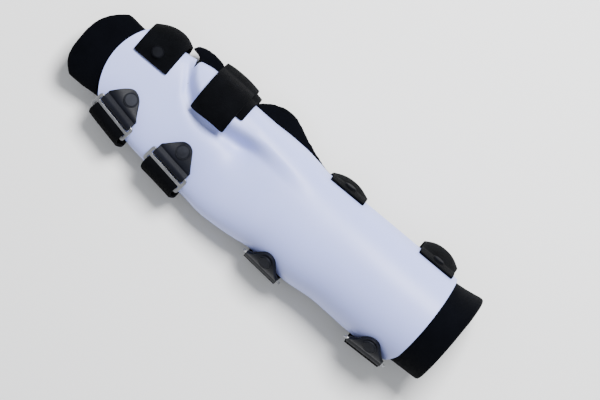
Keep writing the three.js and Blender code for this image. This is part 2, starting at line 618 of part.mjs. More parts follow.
// The middle line of a strap at one place across its width, from the fixed end to the free tail.
function strapLine(strap, u, baseLift) {
  const { frame } = fastener(strap);
  const rootAlong = strap.root_along + u / SHELL_LENGTH;
  const section = sectionAt(rootAlong);
  const rootArc = arcAcross(rootAlong, -strap.root * HALF_WIDTH);
  const leaveArc = section.length - strap.leave;
  const lift = baseLift + STRAP_THICKNESS / 2;
  const line = [];
  for (let i = 0; i <= 5; i++) line.push(onWall(rootAlong, mix(rootArc, leaveArc, i / 5), lift));
  const x = (q) => FINGER_END_X - mix(strap.root_along, strap.slide_along, q) * SHELL_LENGTH - u;
  const thumbEdge = onWall(rootAlong, section.length, 0);
  const littleAlong = strap.slide_along + u / SHELL_LENGTH;
  const littleEdge = onWall(littleAlong, 0, 0);
  const floor = STRAP_THICKNESS / 2;
  const floorStart = new THREE.Vector3(x(FLOOR_LEAD), thumbEdge.y + FLOOR_INSET, floor);
  const floorEnd = new THREE.Vector3(x(1 - FLOOR_LEAD), littleEdge.y - FLOOR_INSET, floor + LAYER);
  const leaving = line[5].clone().sub(line[4]).normalize();
  const swing = line[5].z * 0.45;
  line.push(
    ...bezier(
      line[5],
      line[5].clone().addScaledVector(leaving, swing).add(new THREE.Vector3(0, -strap.bow * BOW_ABOVE, 0)),
      floorStart.clone().add(new THREE.Vector3(0, -FLOOR_INSET - strap.bow * BOW_BELOW, 0)),
      floorStart,
      8,
    ).slice(1),
  );
  const run = floorEnd.y - floorStart.y;
  const tailStart = floorEnd.y - run * TAIL_SHARE;
  for (const q of [-STRAP_STEP, -STRAP_STEP / 2, 0]) {
    const share = (tailStart + q - floorStart.y) / run;
    const place = x(mix(FLOOR_LEAD, 1 - FLOOR_LEAD, share));
    line.push(new THREE.Vector3(place, tailStart + q, floor + LAYER * smooth(1 + q / STRAP_STEP)));
  }
  line.push(floorEnd);
  const outer = frame.point(u, BAR_PITCH + FOLD_LEAD, -FOLD_RADIUS);
  const rise = outer.distanceTo(floorEnd) * 0.3;
  const entry = frame.w.clone().multiplyScalar(0.5).add(new THREE.Vector3(0, 0, -0.5)).normalize();
  const outward = floorEnd.clone().add(new THREE.Vector3(0, FLOOR_INSET * 0.8, 0));
  const upright = new THREE.Vector3(0, 0, 1);
  const round = onWall(littleAlong, 0, 3 * GAP + STRAP_THICKNESS / 2);
  const overEdge = frame.point(0, BAR_PITCH, 0).z > littleEdge.z + STRAP_THICKNESS * 3;
  const climb = overEdge
    ? [
      ...bezier(floorEnd, outward, round.clone().addScaledVector(upright, -round.z * 0.5), round, 5),
      ...bezier(
        round,
        round.clone().addScaledVector(upright, STRAP_THICKNESS * 2),
        outer.clone().addScaledVector(entry, rise / 3),
        outer,
        3,
      ).slice(1),
    ]
    : bezier(floorEnd, outward, outer.clone().addScaledVector(entry, rise), outer, 8);
  line.push(...climb.slice(1));
  for (let i = 0; i <= 8; i++) {
    const angle = -Math.PI / 2 - (i / 8) * Math.PI;
    const w = BAR_PITCH - 0.2 + Math.cos(angle) * (FOLD_RADIUS + 0.2);
    line.push(frame.point(u, w, Math.sin(angle) * FOLD_RADIUS));
  }
  line.push(frame.point(u, BAR_PITCH + FOLD_LEAD, FOLD_RADIUS));
  const back = climb.slice(0, -1).reverse();
  back.forEach((p, i) => {
    const before = i === 0 ? outer : back[i - 1];
    const after = i === back.length - 1 ? p.clone().add(new THREE.Vector3(0, -1, 0)) : back[i + 1];
    const heading = after.clone().sub(before).setX(0).normalize();
    const outward = new THREE.Vector3(0, -heading.z, heading.y);
    const apart = mix(2 * FOLD_RADIUS, LAYER, smooth((i + 1) / 4));
    line.push(p.clone().addScaledVector(outward, apart));
  });
  for (const q of [0.5, 0.92]) {
    const y = mix(floorEnd.y, tailStart, q);
    line.push(new THREE.Vector3(x(mix(1 - FLOOR_LEAD, FLOOR_LEAD, q * TAIL_SHARE)), y, floor));
  }
  return line;
}

const STRAP_STATIONS = [-0.5, -0.17, 0.17, 0.5].map((q) => q * STRAP_WIDTH);

function strapShape(strap) {
  const baseLift = strap.name === 'hand' ? HAND_LIFT : GAP;
  const grid = STRAP_STATIONS.map((u) => strapLine(strap, u, baseLift));
  return toSolid(sheetFromGrid(grid, STRAP_THICKNESS / 2, STRAP_THICKNESS / 2));
}

// The thumb strap lies under the end of the hand strap: it comes off the thumb ridge, round the thumb side and
// under the thumb, and ends there on the inside of the hand strap.
const HAND_LIFT = 3 * GAP + LAYER + RIDGE_EASE;
const THUMB_STRAP = { along: 0.298, root: 0.72, end: 16 };
function thumbStrapLine(u) {
  const along = THUMB_STRAP.along + u / SHELL_LENGTH;
  const hand = STRAPS.find((strap) => strap.name === 'hand');
  const outer = strapLine({ ...hand, root_along: THUMB_STRAP.along, slide_along: THUMB_STRAP.along }, u, HAND_LIFT);
  const section = sectionAt(along);
  const rootArc = arcAcross(along, -THUMB_STRAP.root * HALF_WIDTH);
  const line = [];
  for (let i = 0; i <= 5; i++) {
    const arc = mix(rootArc, section.length - hand.leave, i / 5);
    line.push(onWall(along, arc, 2 * GAP + STRAP_THICKNESS / 2));
  }
  for (let i = 6; i <= 13; i++) {
    const heading = outer[i + 1].clone().sub(outer[i - 1]).setX(0).normalize();
    line.push(outer[i].clone().addScaledVector(new THREE.Vector3(0, -heading.z, heading.y), LAYER + RIDGE_EASE));
  }
  const last = line[line.length - 1];
  for (const q of [0.33, 0.66, 1]) {
    line.push(new THREE.Vector3(last.x, last.y + THUMB_STRAP.end * q, last.z + 0.4 * q));
  }
  return line;
}

// A rivet stands on the wall's normal: a domed cap and a shank that ends flush with the shell's inner face.
function rivetShape(place, radius, seat) {
  const frame = wallFrame(place.along, place.arc, 0, 0);
  const profile = [
    [0, -SHELL_WALL],
    [SHANK_RADIUS, -SHELL_WALL],
    [SHANK_RADIUS, seat],
    [radius, seat],
    [radius, seat + RIVET_RIM],
    [radius * 0.8, seat + RIVET_RIM + RIVET_DOME * 0.6],
    [radius * 0.45, seat + RIVET_RIM + RIVET_DOME * 0.92],
    [0, seat + RIVET_RIM + RIVET_DOME],
  ].map(([r, z]) => new THREE.Vector2(r, z));
  const turned = new THREE.LatheGeometry(profile, RIVET_SIDES).rotateX(Math.PI / 2);
  return toSolid(turned.applyMatrix4(frame.matrix()));
}
function drillAt(place) {
  const frame = wallFrame(place.along, place.arc, 0, 0);
  const bore = new THREE.CylinderGeometry(SHANK_RADIUS + GAP, SHANK_RADIUS + GAP, 2 * CUFF_DEPTH / 3, RIVET_SIDES);
  return toSolid(bore.rotateX(Math.PI / 2).applyMatrix4(frame.matrix()));
}
const TAB_SEAT = 4 * GAP + 2 * TAB_THICKNESS;
const STRAP_SEAT = 2 * GAP + STRAP_THICKNESS;

const splint = new THREE.Group();

function addPiece(name, solid, material) {
  const mesh = new THREE.Mesh(toGeometry(solid), material);
  mesh.name = name;
  splint.add(mesh);
}

let shell = shellShape().subtract(notchPrism());
for (const strap of STRAPS) {
  const tabRivet = fastener(strap).rivet;
  const tabBore = drillAt(tabRivet);
  shell = shell.subtract(tabBore);
  let band = strapShape(strap);
  if (strap.rivet_from_end > 0) {
    const along = strap.root_along;
    const strapRivet = { along, arc: arcAcross(along, -strap.root * HALF_WIDTH) + strap.rivet_from_end };
    const strapBore = drillAt(strapRivet);
    shell = shell.subtract(strapBore);
    band = band.subtract(strapBore);
    addPiece(`${strap.name}_strap_rivet`, rivetShape(strapRivet, STRAP_RIVET_RADIUS, STRAP_SEAT), rivetPaint);
  }
  addPiece(`${strap.name}_strap`, band, loopTape);
  addPiece(`${strap.name}_tab`, tabShape(strap).subtract(tabBore), vinyl);
  addPiece(`${strap.name}_tab_rivet`, rivetShape(tabRivet, TAB_RIVET_RADIUS, TAB_SEAT), rivetPaint);
  addPiece(`${strap.name}_slide`, slideShape(strap), steel);
}
addPiece('thumb_strap', toSolid(sheetFromGrid(STRAP_STATIONS.map(thumbStrapLine), STRAP_THICKNESS / 2,
  STRAP_THICKNESS / 2)), loopTape);
addPiece('shell', shell, shellPlastic);
const seamBack = thumbSeam(0);
const pastThumb = -2 * HALF_WIDTH;
const palmCut = planPrism([
  ...thumbSeam(0),
  { x: seamBack[seamBack.length - 1].x, y: pastThumb },
  { x: seamBack[0].x, y: pastThumb },
]);
const thumbEdge = onWall(NOTCH.along, sectionAt(NOTCH.along).length, 0).y + LINER_GAP;
const thumbKeep = planPrism([
  { x: seamBack[0].x - GAP, y: thumbEdge },
  ...thumbSeam(GAP).map((p, i, all) => ({ x: p.x + (i === 0 ? -GAP : i === all.length - 1 ? GAP : 0), y: p.y })),
  { x: seamBack[seamBack.length - 1].x + GAP, y: pastThumb },
  { x: seamBack[0].x + THUMB_TIP_REACH, y: pastThumb },
  { x: seamBack[0].x + THUMB_TIP_REACH, y: thumbEdge },
]);
addPiece('liner', linerShape().subtract(palmCut), felt);
addPiece('thumb_liner', thumbLinerShape().intersect(thumbKeep), felt);

// The origin is under the middle of the splint, on the surface that it lies on.
const box = new THREE.Box3().setFromObject(splint);
const centre = box.getCenter(new THREE.Vector3());
splint.position.set(-centre.x, -centre.y, -box.min.z);

export default splint;
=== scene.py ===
# %% [markdown]
# # A thumb wrist resting splint
# The real thing is a trough of pale moulded plastic that keeps a thumb and wrist at rest. A black
# felt-faced foam lines it, and four straps close it. Each strap is riveted on the thumb side, goes round
# the open side, passes a metal slide on the little-finger side and folds back on itself. Here the splint
# lies on the backs of its straps with the palmar side up. The measured model is loaded first, and
# everything else is made to fit it.

# %% Load the measured model
import functools
import json
import math
from collections import namedtuple

import bmesh
import bpy
import numpy as np
from mathutils import Matrix, Vector
from mathutils.bvhtree import BVHTree
from mathutils.geometry import interpolate_bezier

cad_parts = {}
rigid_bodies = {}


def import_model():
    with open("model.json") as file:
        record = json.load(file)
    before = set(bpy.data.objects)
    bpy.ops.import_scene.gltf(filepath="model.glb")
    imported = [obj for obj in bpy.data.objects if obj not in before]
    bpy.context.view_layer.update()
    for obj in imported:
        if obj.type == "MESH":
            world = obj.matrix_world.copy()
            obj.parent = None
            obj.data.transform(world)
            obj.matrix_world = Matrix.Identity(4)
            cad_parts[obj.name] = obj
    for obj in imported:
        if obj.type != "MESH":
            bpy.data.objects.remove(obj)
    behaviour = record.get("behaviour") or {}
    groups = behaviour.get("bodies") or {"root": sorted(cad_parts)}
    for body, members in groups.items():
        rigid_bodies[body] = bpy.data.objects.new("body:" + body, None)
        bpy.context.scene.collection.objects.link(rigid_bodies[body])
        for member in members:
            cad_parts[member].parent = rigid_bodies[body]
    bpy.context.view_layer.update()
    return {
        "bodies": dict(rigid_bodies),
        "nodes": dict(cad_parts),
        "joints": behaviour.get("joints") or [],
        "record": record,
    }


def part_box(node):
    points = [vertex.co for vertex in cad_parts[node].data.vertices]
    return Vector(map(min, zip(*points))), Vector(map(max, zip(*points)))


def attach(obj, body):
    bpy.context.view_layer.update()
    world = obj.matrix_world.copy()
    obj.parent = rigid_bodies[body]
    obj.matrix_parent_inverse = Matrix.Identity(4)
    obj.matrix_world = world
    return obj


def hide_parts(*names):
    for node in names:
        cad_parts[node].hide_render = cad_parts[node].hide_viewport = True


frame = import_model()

# %% [markdown]
# ## Camera and daylight
# The picture looks straight down on the palmar side with the splint running across the frame from lower
# right to upper left. So the camera hangs over the splint and is rolled until the splint's length has that
# slope. A long lens from two metres keeps the two ends at nearly one scale, as a product photographer
# would.

# %% Camera
PICTURE_WIDTH = 0.54
CAMERA_HEIGHT = 2.2
SUBJECT_HEIGHT = 0.06
SENSOR_WIDTH = 36
SPLINT_SLOPE = math.radians(39.75)
LOOK_AT = Vector((-0.029, -0.0087, SUBJECT_HEIGHT))

right = Vector((-math.cos(SPLINT_SLOPE), -math.sin(SPLINT_SLOPE), 0))
up = Vector((math.sin(SPLINT_SLOPE), -math.cos(SPLINT_SLOPE), 0))
back = right.cross(up)

camera_data = bpy.data.cameras.new("camera")
camera = bpy.data.objects.new("camera", camera_data)
camera_data.sensor_width = SENSOR_WIDTH
camera_data.lens = SENSOR_WIDTH * (CAMERA_HEIGHT - SUBJECT_HEIGHT) / PICTURE_WIDTH
roll = Matrix((right, up, back)).transposed().to_4x4()
camera.matrix_world = Matrix.Translation(LOOK_AT + back * (CAMERA_HEIGHT - SUBJECT_HEIGHT)) @ roll
bpy.context.scene.collection.objects.link(camera)
bpy.context.scene.camera = camera
print("lens", round(camera_data.lens, 1), "mm")

# %% [markdown]
# A big soft lamp hangs nearly over the splint, a little towards the picture's upper right, so the top is
# bright and both flanks fall off, the little-finger one more. A weak one opposite and a pale world fill the
# rest. The lamps' directions are given along the picture's own axes, which are easier to think in than the
# splint's.

# %% Lamps and world


def area_lamp(name, towards, distance, size, watts):
    """A square lamp that shines at the splint from a direction."""
    data = bpy.data.lights.new(name, "AREA")
    data.size = size
    data.energy = watts
    lamp = bpy.data.objects.new(name, data)
    place = LOOK_AT + towards.normalized() * distance
    aim = (LOOK_AT - place).to_track_quat("-Z", "Y").to_matrix().to_4x4()
    lamp.matrix_world = Matrix.Translation(place) @ aim
    bpy.context.scene.collection.objects.link(lamp)
    print(name, "stands", round(place.z, 2), "m up")


area_lamp("key_lamp", right * 0.42 + up * 0.5 + back, distance=1.6, size=0.6, watts=66)
area_lamp("fill_lamp", -right * 0.8 - up * 0.3 + back * 0.9, distance=1.8, size=1.4, watts=1.5)

world = bpy.data.worlds.new("studio")
world.use_nodes = True
sky = world.node_tree.nodes["Background"]
sky.inputs["Color"].default_value = (0.93, 0.96, 1.0, 1)
sky.inputs["Strength"].default_value = 0.52
bpy.context.scene.world = world

# %% [markdown]
# The floor is one pale, dull sheet. It lies a fifth of a millimetre below the straps, because two faces in
# one plane would flicker.

# %% Floor
FLOOR_HALF = 3
FLOOR_DROP = 0.0002

bm = bmesh.new()
bmesh.ops.create_grid(bm, x_segments=1, y_segments=1, size=FLOOR_HALF)
bmesh.ops.translate(bm, verts=bm.verts, vec=(0, 0, -FLOOR_DROP))
floor_mesh = bpy.data.meshes.new("floor")
bm.to_mesh(floor_mesh)
bm.free()
floor = bpy.data.objects.new("floor", floor_mesh)
bpy.context.scene.collection.objects.link(floor)

floor_paint = bpy.data.materials.new("floor_paint")
floor_paint.use_nodes = True
paint = floor_paint.node_tree.nodes["Principled BSDF"]
paint.inputs["Base Color"].default_value = (0.93, 0.93, 0.93, 1)
paint.inputs["Roughness"].default_value = 0.9
floor_mesh.materials.append(floor_paint)
print("floor:", 2 * FLOOR_HALF, "m square")

# %% [markdown]
# ## Finishes
# Two effects are shared. "pile" is the short nap of felt and loop tape: a fine noise that lifts the height
# and varies the shade, with larger soft patches where the nap lies another way. "handling" is the faint
# unevenness of anything moulded or coated: broad cloudiness plus a fine grain. They could be painted
# images, but noise in space needs no file and no unwrapping and is fine at any distance. Both are node
# groups, so that each material gives its own scale and strength.

# %% Node helpers


def node_group(name, inputs, outputs):
    """An empty shader group with float inputs and float outputs."""
    group = bpy.data.node_groups.new(name, "ShaderNodeTree")
    for label, value in inputs.items():
        socket = group.interface.new_socket(label, in_out="INPUT", socket_type="NodeSocketFloat")
        socket.default_value = value
    for label in outputs:
        group.interface.new_socket(label, in_out="OUTPUT", socket_type="NodeSocketFloat")
    return group


def add_noise(tree, vector, scale_socket, detail, roughness=0.6):
    """A noise texture on the given coordinates."""
    noise = tree.nodes.new("ShaderNodeTexNoise")
    noise.inputs["Detail"].default_value = detail
    noise.inputs["Roughness"].default_value = roughness
    tree.links.new(vector, noise.inputs["Vector"])
    tree.links.new(scale_socket, noise.inputs["Scale"])
    return noise.outputs["Fac"]


def add_math(tree, operation, first, second):
    """A math node; either side may be a socket or a number."""
    node = tree.nodes.new("ShaderNodeMath")
    node.operation = operation
    for socket, value in zip(node.inputs, (first, second)):
        if isinstance(value, (int, float)):
            socket.default_value = value
        else:
            tree.links.new(value, socket)
    return node.outputs[0]


def weighted(tree, first, second, share):
    """A blend of two factors, with a share of the first and the rest of the second."""
    first_part = add_math(tree, "MULTIPLY", first, share)
    return add_math(tree, "ADD", first_part, add_math(tree, "MULTIPLY", second, 1 - share))


print("node helpers:", node_group.__name__, add_noise.__name__, add_math.__name__, weighted.__name__)

# %% Pile and handling groups
CLUMP_SHARE = 0.3


def build_pile():
    """Height and shade of short nap: fibres, clumps and brushed patches."""
    group = node_group("pile", {"Fibre Scale": 2500.0, "Patch Scale": 60.0}, ("Height", "Shade"))
    start = group.nodes.new("NodeGroupInput")
    end = group.nodes.new("NodeGroupOutput")
    place = group.nodes.new("ShaderNodeTexCoord").outputs["Object"]
    fibres = add_noise(group, place, start.outputs["Fibre Scale"], 4, 0.75)
    patches = add_noise(group, place, start.outputs["Patch Scale"], 3)
    clump_scale = add_math(group, "MULTIPLY", start.outputs["Fibre Scale"], CLUMP_SHARE)
    clumps = add_noise(group, place, clump_scale, 2)
    group.links.new(weighted(group, fibres, clumps, 0.6), end.inputs["Height"])
    group.links.new(weighted(group, fibres, patches, 0.5), end.inputs["Shade"])
    return group


def build_handling():
    """Cloudiness and fine grain of a moulded or coated face."""
    group = node_group("handling", {"Cloud Scale": 14.0, "Grain Scale": 900.0}, ("Cloud", "Grain"))
    start = group.nodes.new("NodeGroupInput")
    end = group.nodes.new("NodeGroupOutput")
    place = group.nodes.new("ShaderNodeTexCoord").outputs["Object"]
    cloud = add_noise(group, place, start.outputs["Cloud Scale"], 3)
    grain = add_noise(group, place, start.outputs["Grain Scale"], 2)
    group.links.new(cloud, end.inputs["Cloud"])
    group.links.new(grain, end.inputs["Grain"])
    return group


PILE = build_pile()
HANDLING = build_handling()
print("shared groups:", PILE.name, HANDLING.name)

# %% [markdown]
# A finish always starts the same way: a new material with one of the groups in it. A ramp turns one of the
# group's factors into two nearby colours, a factor can vary the roughness, and the fine one lifts the
# surface.

# %% Material helpers
RAMP_STOPS = (0.3, 0.7)


def set_values(node, values):
    """Values that are the same all over, on the node's own sockets."""
    for label, value in values.items():
        node.inputs[label].default_value = value


def start_material(name, group, settings):
    """A material with one shared group placed in it, ready for its own ramps."""
    material = bpy.data.materials.new(name)
    material.use_nodes = True
    tree = material.node_tree
    effect = tree.nodes.new("ShaderNodeGroup")
    effect.node_tree = group
    set_values(effect, settings)
    return material, tree, effect, tree.nodes["Principled BSDF"]


def colour(tree, shader, factor, dark, light):
    """Two nearby colours over the middle part of a factor."""
    node = tree.nodes.new("ShaderNodeValToRGB")
    for stop, place, tint in zip(node.color_ramp.elements, RAMP_STOPS, (dark, light)):
        stop.position = place
        stop.color = (*tint, 1)
    tree.links.new(factor, node.inputs["Fac"])
    tree.links.new(node.outputs["Color"], shader.inputs["Base Color"])


def roughness(tree, shader, factor, spread, least):
    """A roughness that a factor raises from its least value."""
    rough = add_math(tree, "MULTIPLY_ADD", factor, spread)
    rough.node.inputs[2].default_value = least
    tree.links.new(rough, shader.inputs["Roughness"])


def bump(tree, height, shader, strength, distance):
    """Feeds a height into the shader's normal."""
    node = tree.nodes.new("ShaderNodeBump")
    node.inputs["Strength"].default_value = strength
    node.inputs["Distance"].default_value = distance
    tree.links.new(height, node.inputs["Height"])
    tree.links.new(node.outputs["Normal"], shader.inputs["Normal"])


print("material helpers:", start_material.__name__, colour.__name__, roughness.__name__, bump.__name__)

# %% [markdown]
# The shell is a pale, faintly blue thermoplastic. It is satin rather than glossy, a little cloudy, and
# light goes a few millimetres into it, which softens its shading. The felt is nearly black, with hardly any
# sheen, so that only its outline and its nap show. The loop tape of the straps is a coarser pile, a touch
# lighter.

# %% Shell plastic
shell_plastic, tree, effect, shader = start_material("shell_plastic", HANDLING, {"Cloud Scale": 9.0})
colour(tree, shader, effect.outputs["Cloud"], (0.40, 0.46, 0.89), (0.45, 0.51, 0.93))
roughness(tree, shader, effect.outputs["Cloud"], 0.14, 0.36)
set_values(shader, {"Subsurface Weight": 0.12, "Subsurface Radius": (0.004, 0.004, 0.005)})
set_values(shader, {"Specular IOR Level": 0.45})
bump(tree, effect.outputs["Grain"], shader, 0.08, 0.0004)
print("made", shell_plastic.name)

# %% Felt and loop tape
felt, tree, effect, shader = start_material("felt", PILE, {"Fibre Scale": 2600.0, "Patch Scale": 45.0})
colour(tree, shader, effect.outputs["Shade"], (0.0004, 0.0006, 0.0013), (0.0018, 0.0022, 0.004))
set_values(shader, {"Roughness": 0.95, "Sheen Weight": 0.012, "Sheen Roughness": 0.5})
set_values(shader, {"Specular IOR Level": 0.04})
bump(tree, effect.outputs["Height"], shader, 0.7, 0.0012)

tape_scales = {"Fibre Scale": 1500.0, "Patch Scale": 70.0}
loop_tape, tree, effect, shader = start_material("loop_tape", PILE, tape_scales)
colour(tree, shader, effect.outputs["Shade"], (0.0004, 0.0005, 0.0009), (0.0026, 0.003, 0.0042))
set_values(shader, {"Roughness": 0.9, "Sheen Weight": 0.012, "Specular IOR Level": 0.04})
bump(tree, effect.outputs["Height"], shader, 0.8, 0.0016)
print("made", felt.name, "and", loop_tape.name)

# %% [markdown]
# The tabs are a coated strap leather, slate black and satin. The slides are bright plated metal whose
# polish is broken by fine rubbing. The rivet caps are a darker plating on the tabs and a blackened one on
# the straps.

# %% Tab leather and plated steel
leather_scales = {"Cloud Scale": 60.0, "Grain Scale": 1300.0}
tab_leather, tree, effect, shader = start_material("tab_leather", HANDLING, leather_scales)
colour(tree, shader, effect.outputs["Cloud"], (0.0025, 0.0032, 0.0065), (0.006, 0.007, 0.0125))
roughness(tree, shader, effect.outputs["Grain"], 0.25, 0.36)
set_values(shader, {"Specular IOR Level": 0.14})
bump(tree, effect.outputs["Grain"], shader, 0.22, 0.0005)

steel_scales = {"Cloud Scale": 120.0, "Grain Scale": 2200.0}
plated_steel, tree, effect, shader = start_material("plated_steel", HANDLING, steel_scales)
colour(tree, shader, effect.outputs["Cloud"], (0.30, 0.305, 0.32), (0.46, 0.465, 0.48))
set_values(shader, {"Metallic": 1})
roughness(tree, shader, effect.outputs["Cloud"], 0.3, 0.26)
bump(tree, effect.outputs["Grain"], shader, 0.02, 0.0001)
print("made", tab_leather.name, "and", plated_steel.name)

# %% Rivet platings


def cap_plating(name, dark, light, metallic, gloss):
    """A dull plating for rivet caps, cloudy from handling."""
    scales = {"Cloud Scale": 150.0, "Grain Scale": 2000.0}
    material, tree, effect, shader = start_material(name, HANDLING, scales)
    colour(tree, shader, effect.outputs["Cloud"], dark, light)
    set_values(shader, {"Metallic": metallic, "Specular IOR Level": gloss})
    roughness(tree, shader, effect.outputs["Cloud"], 0.2, 0.46)
    return material


rivet_plating = cap_plating(
    "rivet_plating", (0.008, 0.009, 0.013), (0.018, 0.0195, 0.026), metallic=0.3, gloss=0.1
)
blackened_plating = cap_plating(
    "blackened_plating", (0.003, 0.0035, 0.005), (0.006, 0.0065, 0.009), metallic=0.0, gloss=0.02
)
print("materials:", [m.name for m in bpy.data.materials])

# %% [markdown]
# ## The shell's form
# The real shell is sheet plastic drawn over a plaster form. Its sections are squared arches: flat and
# shallow under the fingers, deep and round at the cuff. It could be sculpted, but then no size could be
# changed later, so tables describe it. One table says how wide, high and deep the arch is along the splint,
# and a second follows the groove between palm and thumb, where the thumb's ridge rises. Places along the
# splint are shares of the shell's length from the finger end. The other columns are shares of the sizes at
# the top of the cell, apart from power, which says how square the arch is. In the second table, across runs
# from the middle to the thumb side.

# %% Shell sizes and section tables
SHELL_LENGTH = 0.375
HALF_WIDTH = 0.050
CUFF_CREST = 0.084
CUFF_DEPTH = 0.050
SHELL_WALL = 0.003
FINGER_END_RADIUS = 0.063
FINGER_END_CENTRE = 0.23

Section = namedtuple("Section", "along ulnar radial crest depth power")
SECTIONS = [
    Section(-0.085, 0.67, 0.99, 0.5, 0.2, 2.6),
    Section(0.0, 0.665, 0.975, 0.478, 0.26, 2.7),
    Section(0.042, 0.675, 0.975, 0.47, 0.3, 2.8),
    Section(0.08, 0.76, 1.01, 0.466, 0.33, 2.9),
    Section(0.148, 0.89, 1.058, 0.47, 0.36, 3.0),
    Section(0.22, 0.965, 1.15, 0.486, 0.4, 3.0),
    Section(0.345, 1.005, 1.12, 0.54, 0.48, 2.8),
    Section(0.414, 1.06, 1.107, 0.598, 0.58, 2.6),
    Section(0.46, 1.045, 1.116, 0.645, 0.66, 2.5),
    Section(0.508, 1.01, 1.107, 0.695, 0.72, 2.4),
    Section(0.556, 0.96, 1.065, 0.738, 0.78, 2.3),
    Section(0.6, 0.98, 1.022, 0.772, 0.82, 2.25),
    Section(0.664, 1.01, 1.035, 0.818, 0.86, 2.2),
    Section(0.758, 0.95, 1.04, 0.882, 0.92, 2.15),
    Section(0.868, 0.975, 1.037, 0.946, 0.97, 2.1),
    Section(1.0, 0.945, 1.03, 1.0, 1.0, 2.1),
    Section(1.08, 0.92, 1.13, 1.03, 1.03, 2.1),
]
print(len(SECTIONS), "sections over", SHELL_LENGTH, "m")

# %% Thumb groove, ridge, hollow and palm bump
Groove = namedtuple("Groove", "along across ridge groove")
GROOVE_LINE = [
    Groove(0.14, 1.0, 0, 0),
    Groove(0.168, 0.8, 0.35, 0.6),
    Groove(0.195, 0.55, 0.8, 1),
    Groove(0.242, 0.31, 1, 1),
    Groove(0.287, 0.22, 1, 1),
    Groove(0.333, 0.29, 1, 1),
    Groove(0.39, 0.34, 0.95, 0.8),
    Groove(0.436, 0.38, 0.7, 0.3),
    Groove(0.49, 0.36, 0.38, 0),
    Groove(0.56, 0.34, 0.1, 0),
    Groove(0.62, 0.34, 0, 0),
]
RIDGE_HEIGHT = 0.013
BANK_WIDTH = 0.017
GROOVE_DEPTH = 0.0025
GROOVE_HALF_WIDTH = 0.007
HOLLOW = {"along": 0.39, "across": 0.33, "depth": 0.005, "radius": 0.015}
BUMP = {"along": 0.304, "across": -0.05, "depth": -0.004, "radius": 0.024}
print("the groove runs from", GROOVE_LINE[0].along, "to", GROOVE_LINE[-1].along, "of the length")

# %% [markdown]
# A table gives values at a few places only. Between them a cubic runs through, with slopes chosen so that
# it never swings past its neighbours, because a swing would show as a ripple on the plastic. The thumb's
# ridge is a soft step across the splint, and the groove, the hollow and the palm's bump are rounded bells
# added to it.

# %% Reading the tables


def smooth(q):
    """A soft step from 0 to 1."""
    q = np.clip(q, 0, 1)
    return q * q * (3 - 2 * q)


def read_table(rows, column, along):
    """A smooth value of one column at a place along the splint."""
    if along <= rows[0].along:
        return getattr(rows[0], column)
    if along >= rows[-1].along:
        return getattr(rows[-1], column)
    places = [row.along for row in rows]
    values = [getattr(row, column) for row in rows]
    i = max(k for k, place in enumerate(places) if place <= along)

    def slope(k):
        if k in (0, len(rows) - 1):
            return 0
        before = (values[k] - values[k - 1]) / (places[k] - places[k - 1])
        after = (values[k + 1] - values[k]) / (places[k + 1] - places[k])
        return 0 if before * after <= 0 else 2 * before * after / (before + after)

    span = places[i + 1] - places[i]
    q = (along - places[i]) / span
    ends = values[i] * (1 + 2 * q) * (1 - q) ** 2 + values[i + 1] * q * q * (3 - 2 * q)
    return ends + slope(i) * span * q * (1 - q) ** 2 + slope(i + 1) * span * q * q * (q - 1)


def relief(along, y):
    """What the thumb ridge, groove, hollow and palm bump add to the arch."""
    to_thumb = -y - read_table(GROOVE_LINE, "across", along) * HALF_WIDTH
    height = RIDGE_HEIGHT * read_table(GROOVE_LINE, "ridge", along) * smooth(to_thumb / BANK_WIDTH)
    height = height - GROOVE_DEPTH * read_table(GROOVE_LINE, "groove", along) * np.exp(
        -((to_thumb / GROOVE_HALF_WIDTH) ** 2)
    )
    for spot in (HOLLOW, BUMP):
        off = np.hypot((along - spot["along"]) * SHELL_LENGTH, -y - spot["across"] * HALF_WIDTH)
        height = height - spot["depth"] * np.exp(-((off / spot["radius"]) ** 2))
    return height


print("ridge over the palm:", round(float(relief(0.27, -HALF_WIDTH)) * 1000, 1), "mm")

# %% [markdown]
# One section is a squared arch with the relief added, which fades out down the flanks. Every later step
# asks for sections again and again, so each is worked out once and kept. A point on the wall is then given
# by three numbers: how far along the splint, how far round the arch, and how high above the outer face.

# %% One section, and a point on it
RELIEF_FADE = 0.8
HEADING_STEP = 0.0006
ANGLES = (np.linspace(0, 1, 361) - 0.5) * math.pi


@functools.lru_cache(maxsize=None)
def make_section(along):
    """The outer face's section from the little-finger edge to the thumb edge, with arc lengths."""
    ulnar, radial, crest, depth, power = (read_table(SECTIONS, name, along) for name in Section._fields[1:])
    half = (ulnar + radial) / 2 * HALF_WIDTH
    middle = (ulnar - radial) / 2 * HALF_WIDTH
    side = np.sign(np.sin(ANGLES)) * np.abs(np.sin(ANGLES)) ** (2 / power)
    rise = np.maximum(0, np.cos(ANGLES)) ** (2 / power)
    y = middle - half * side
    z = crest * CUFF_CREST - depth * CUFF_DEPTH * (1 - rise) + relief(along, y) * smooth(rise / RELIEF_FADE)
    arcs = np.concatenate(([0], np.cumsum(np.hypot(np.diff(y), np.diff(z)))))
    return y, z, arcs


def section_at(along):
    """The kept section at a place, which is rounded so that a hair's difference finds the same one."""
    return make_section(round(along, 6))


def arc_across(along, y):
    """The arc length at which a section reaches a distance across the splint."""
    across, _, arcs = section_at(along)
    return float(np.interp(-y, -across, arcs))


FINGER_END_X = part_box("shell")[1].x
widest = max(section_at(float(q))[0][0] for q in np.linspace(0, 1, 251))
Y_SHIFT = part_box("shell")[1].y - widest
print("section tables sit", round(Y_SHIFT * 1000, 2), "mm across from the frame")


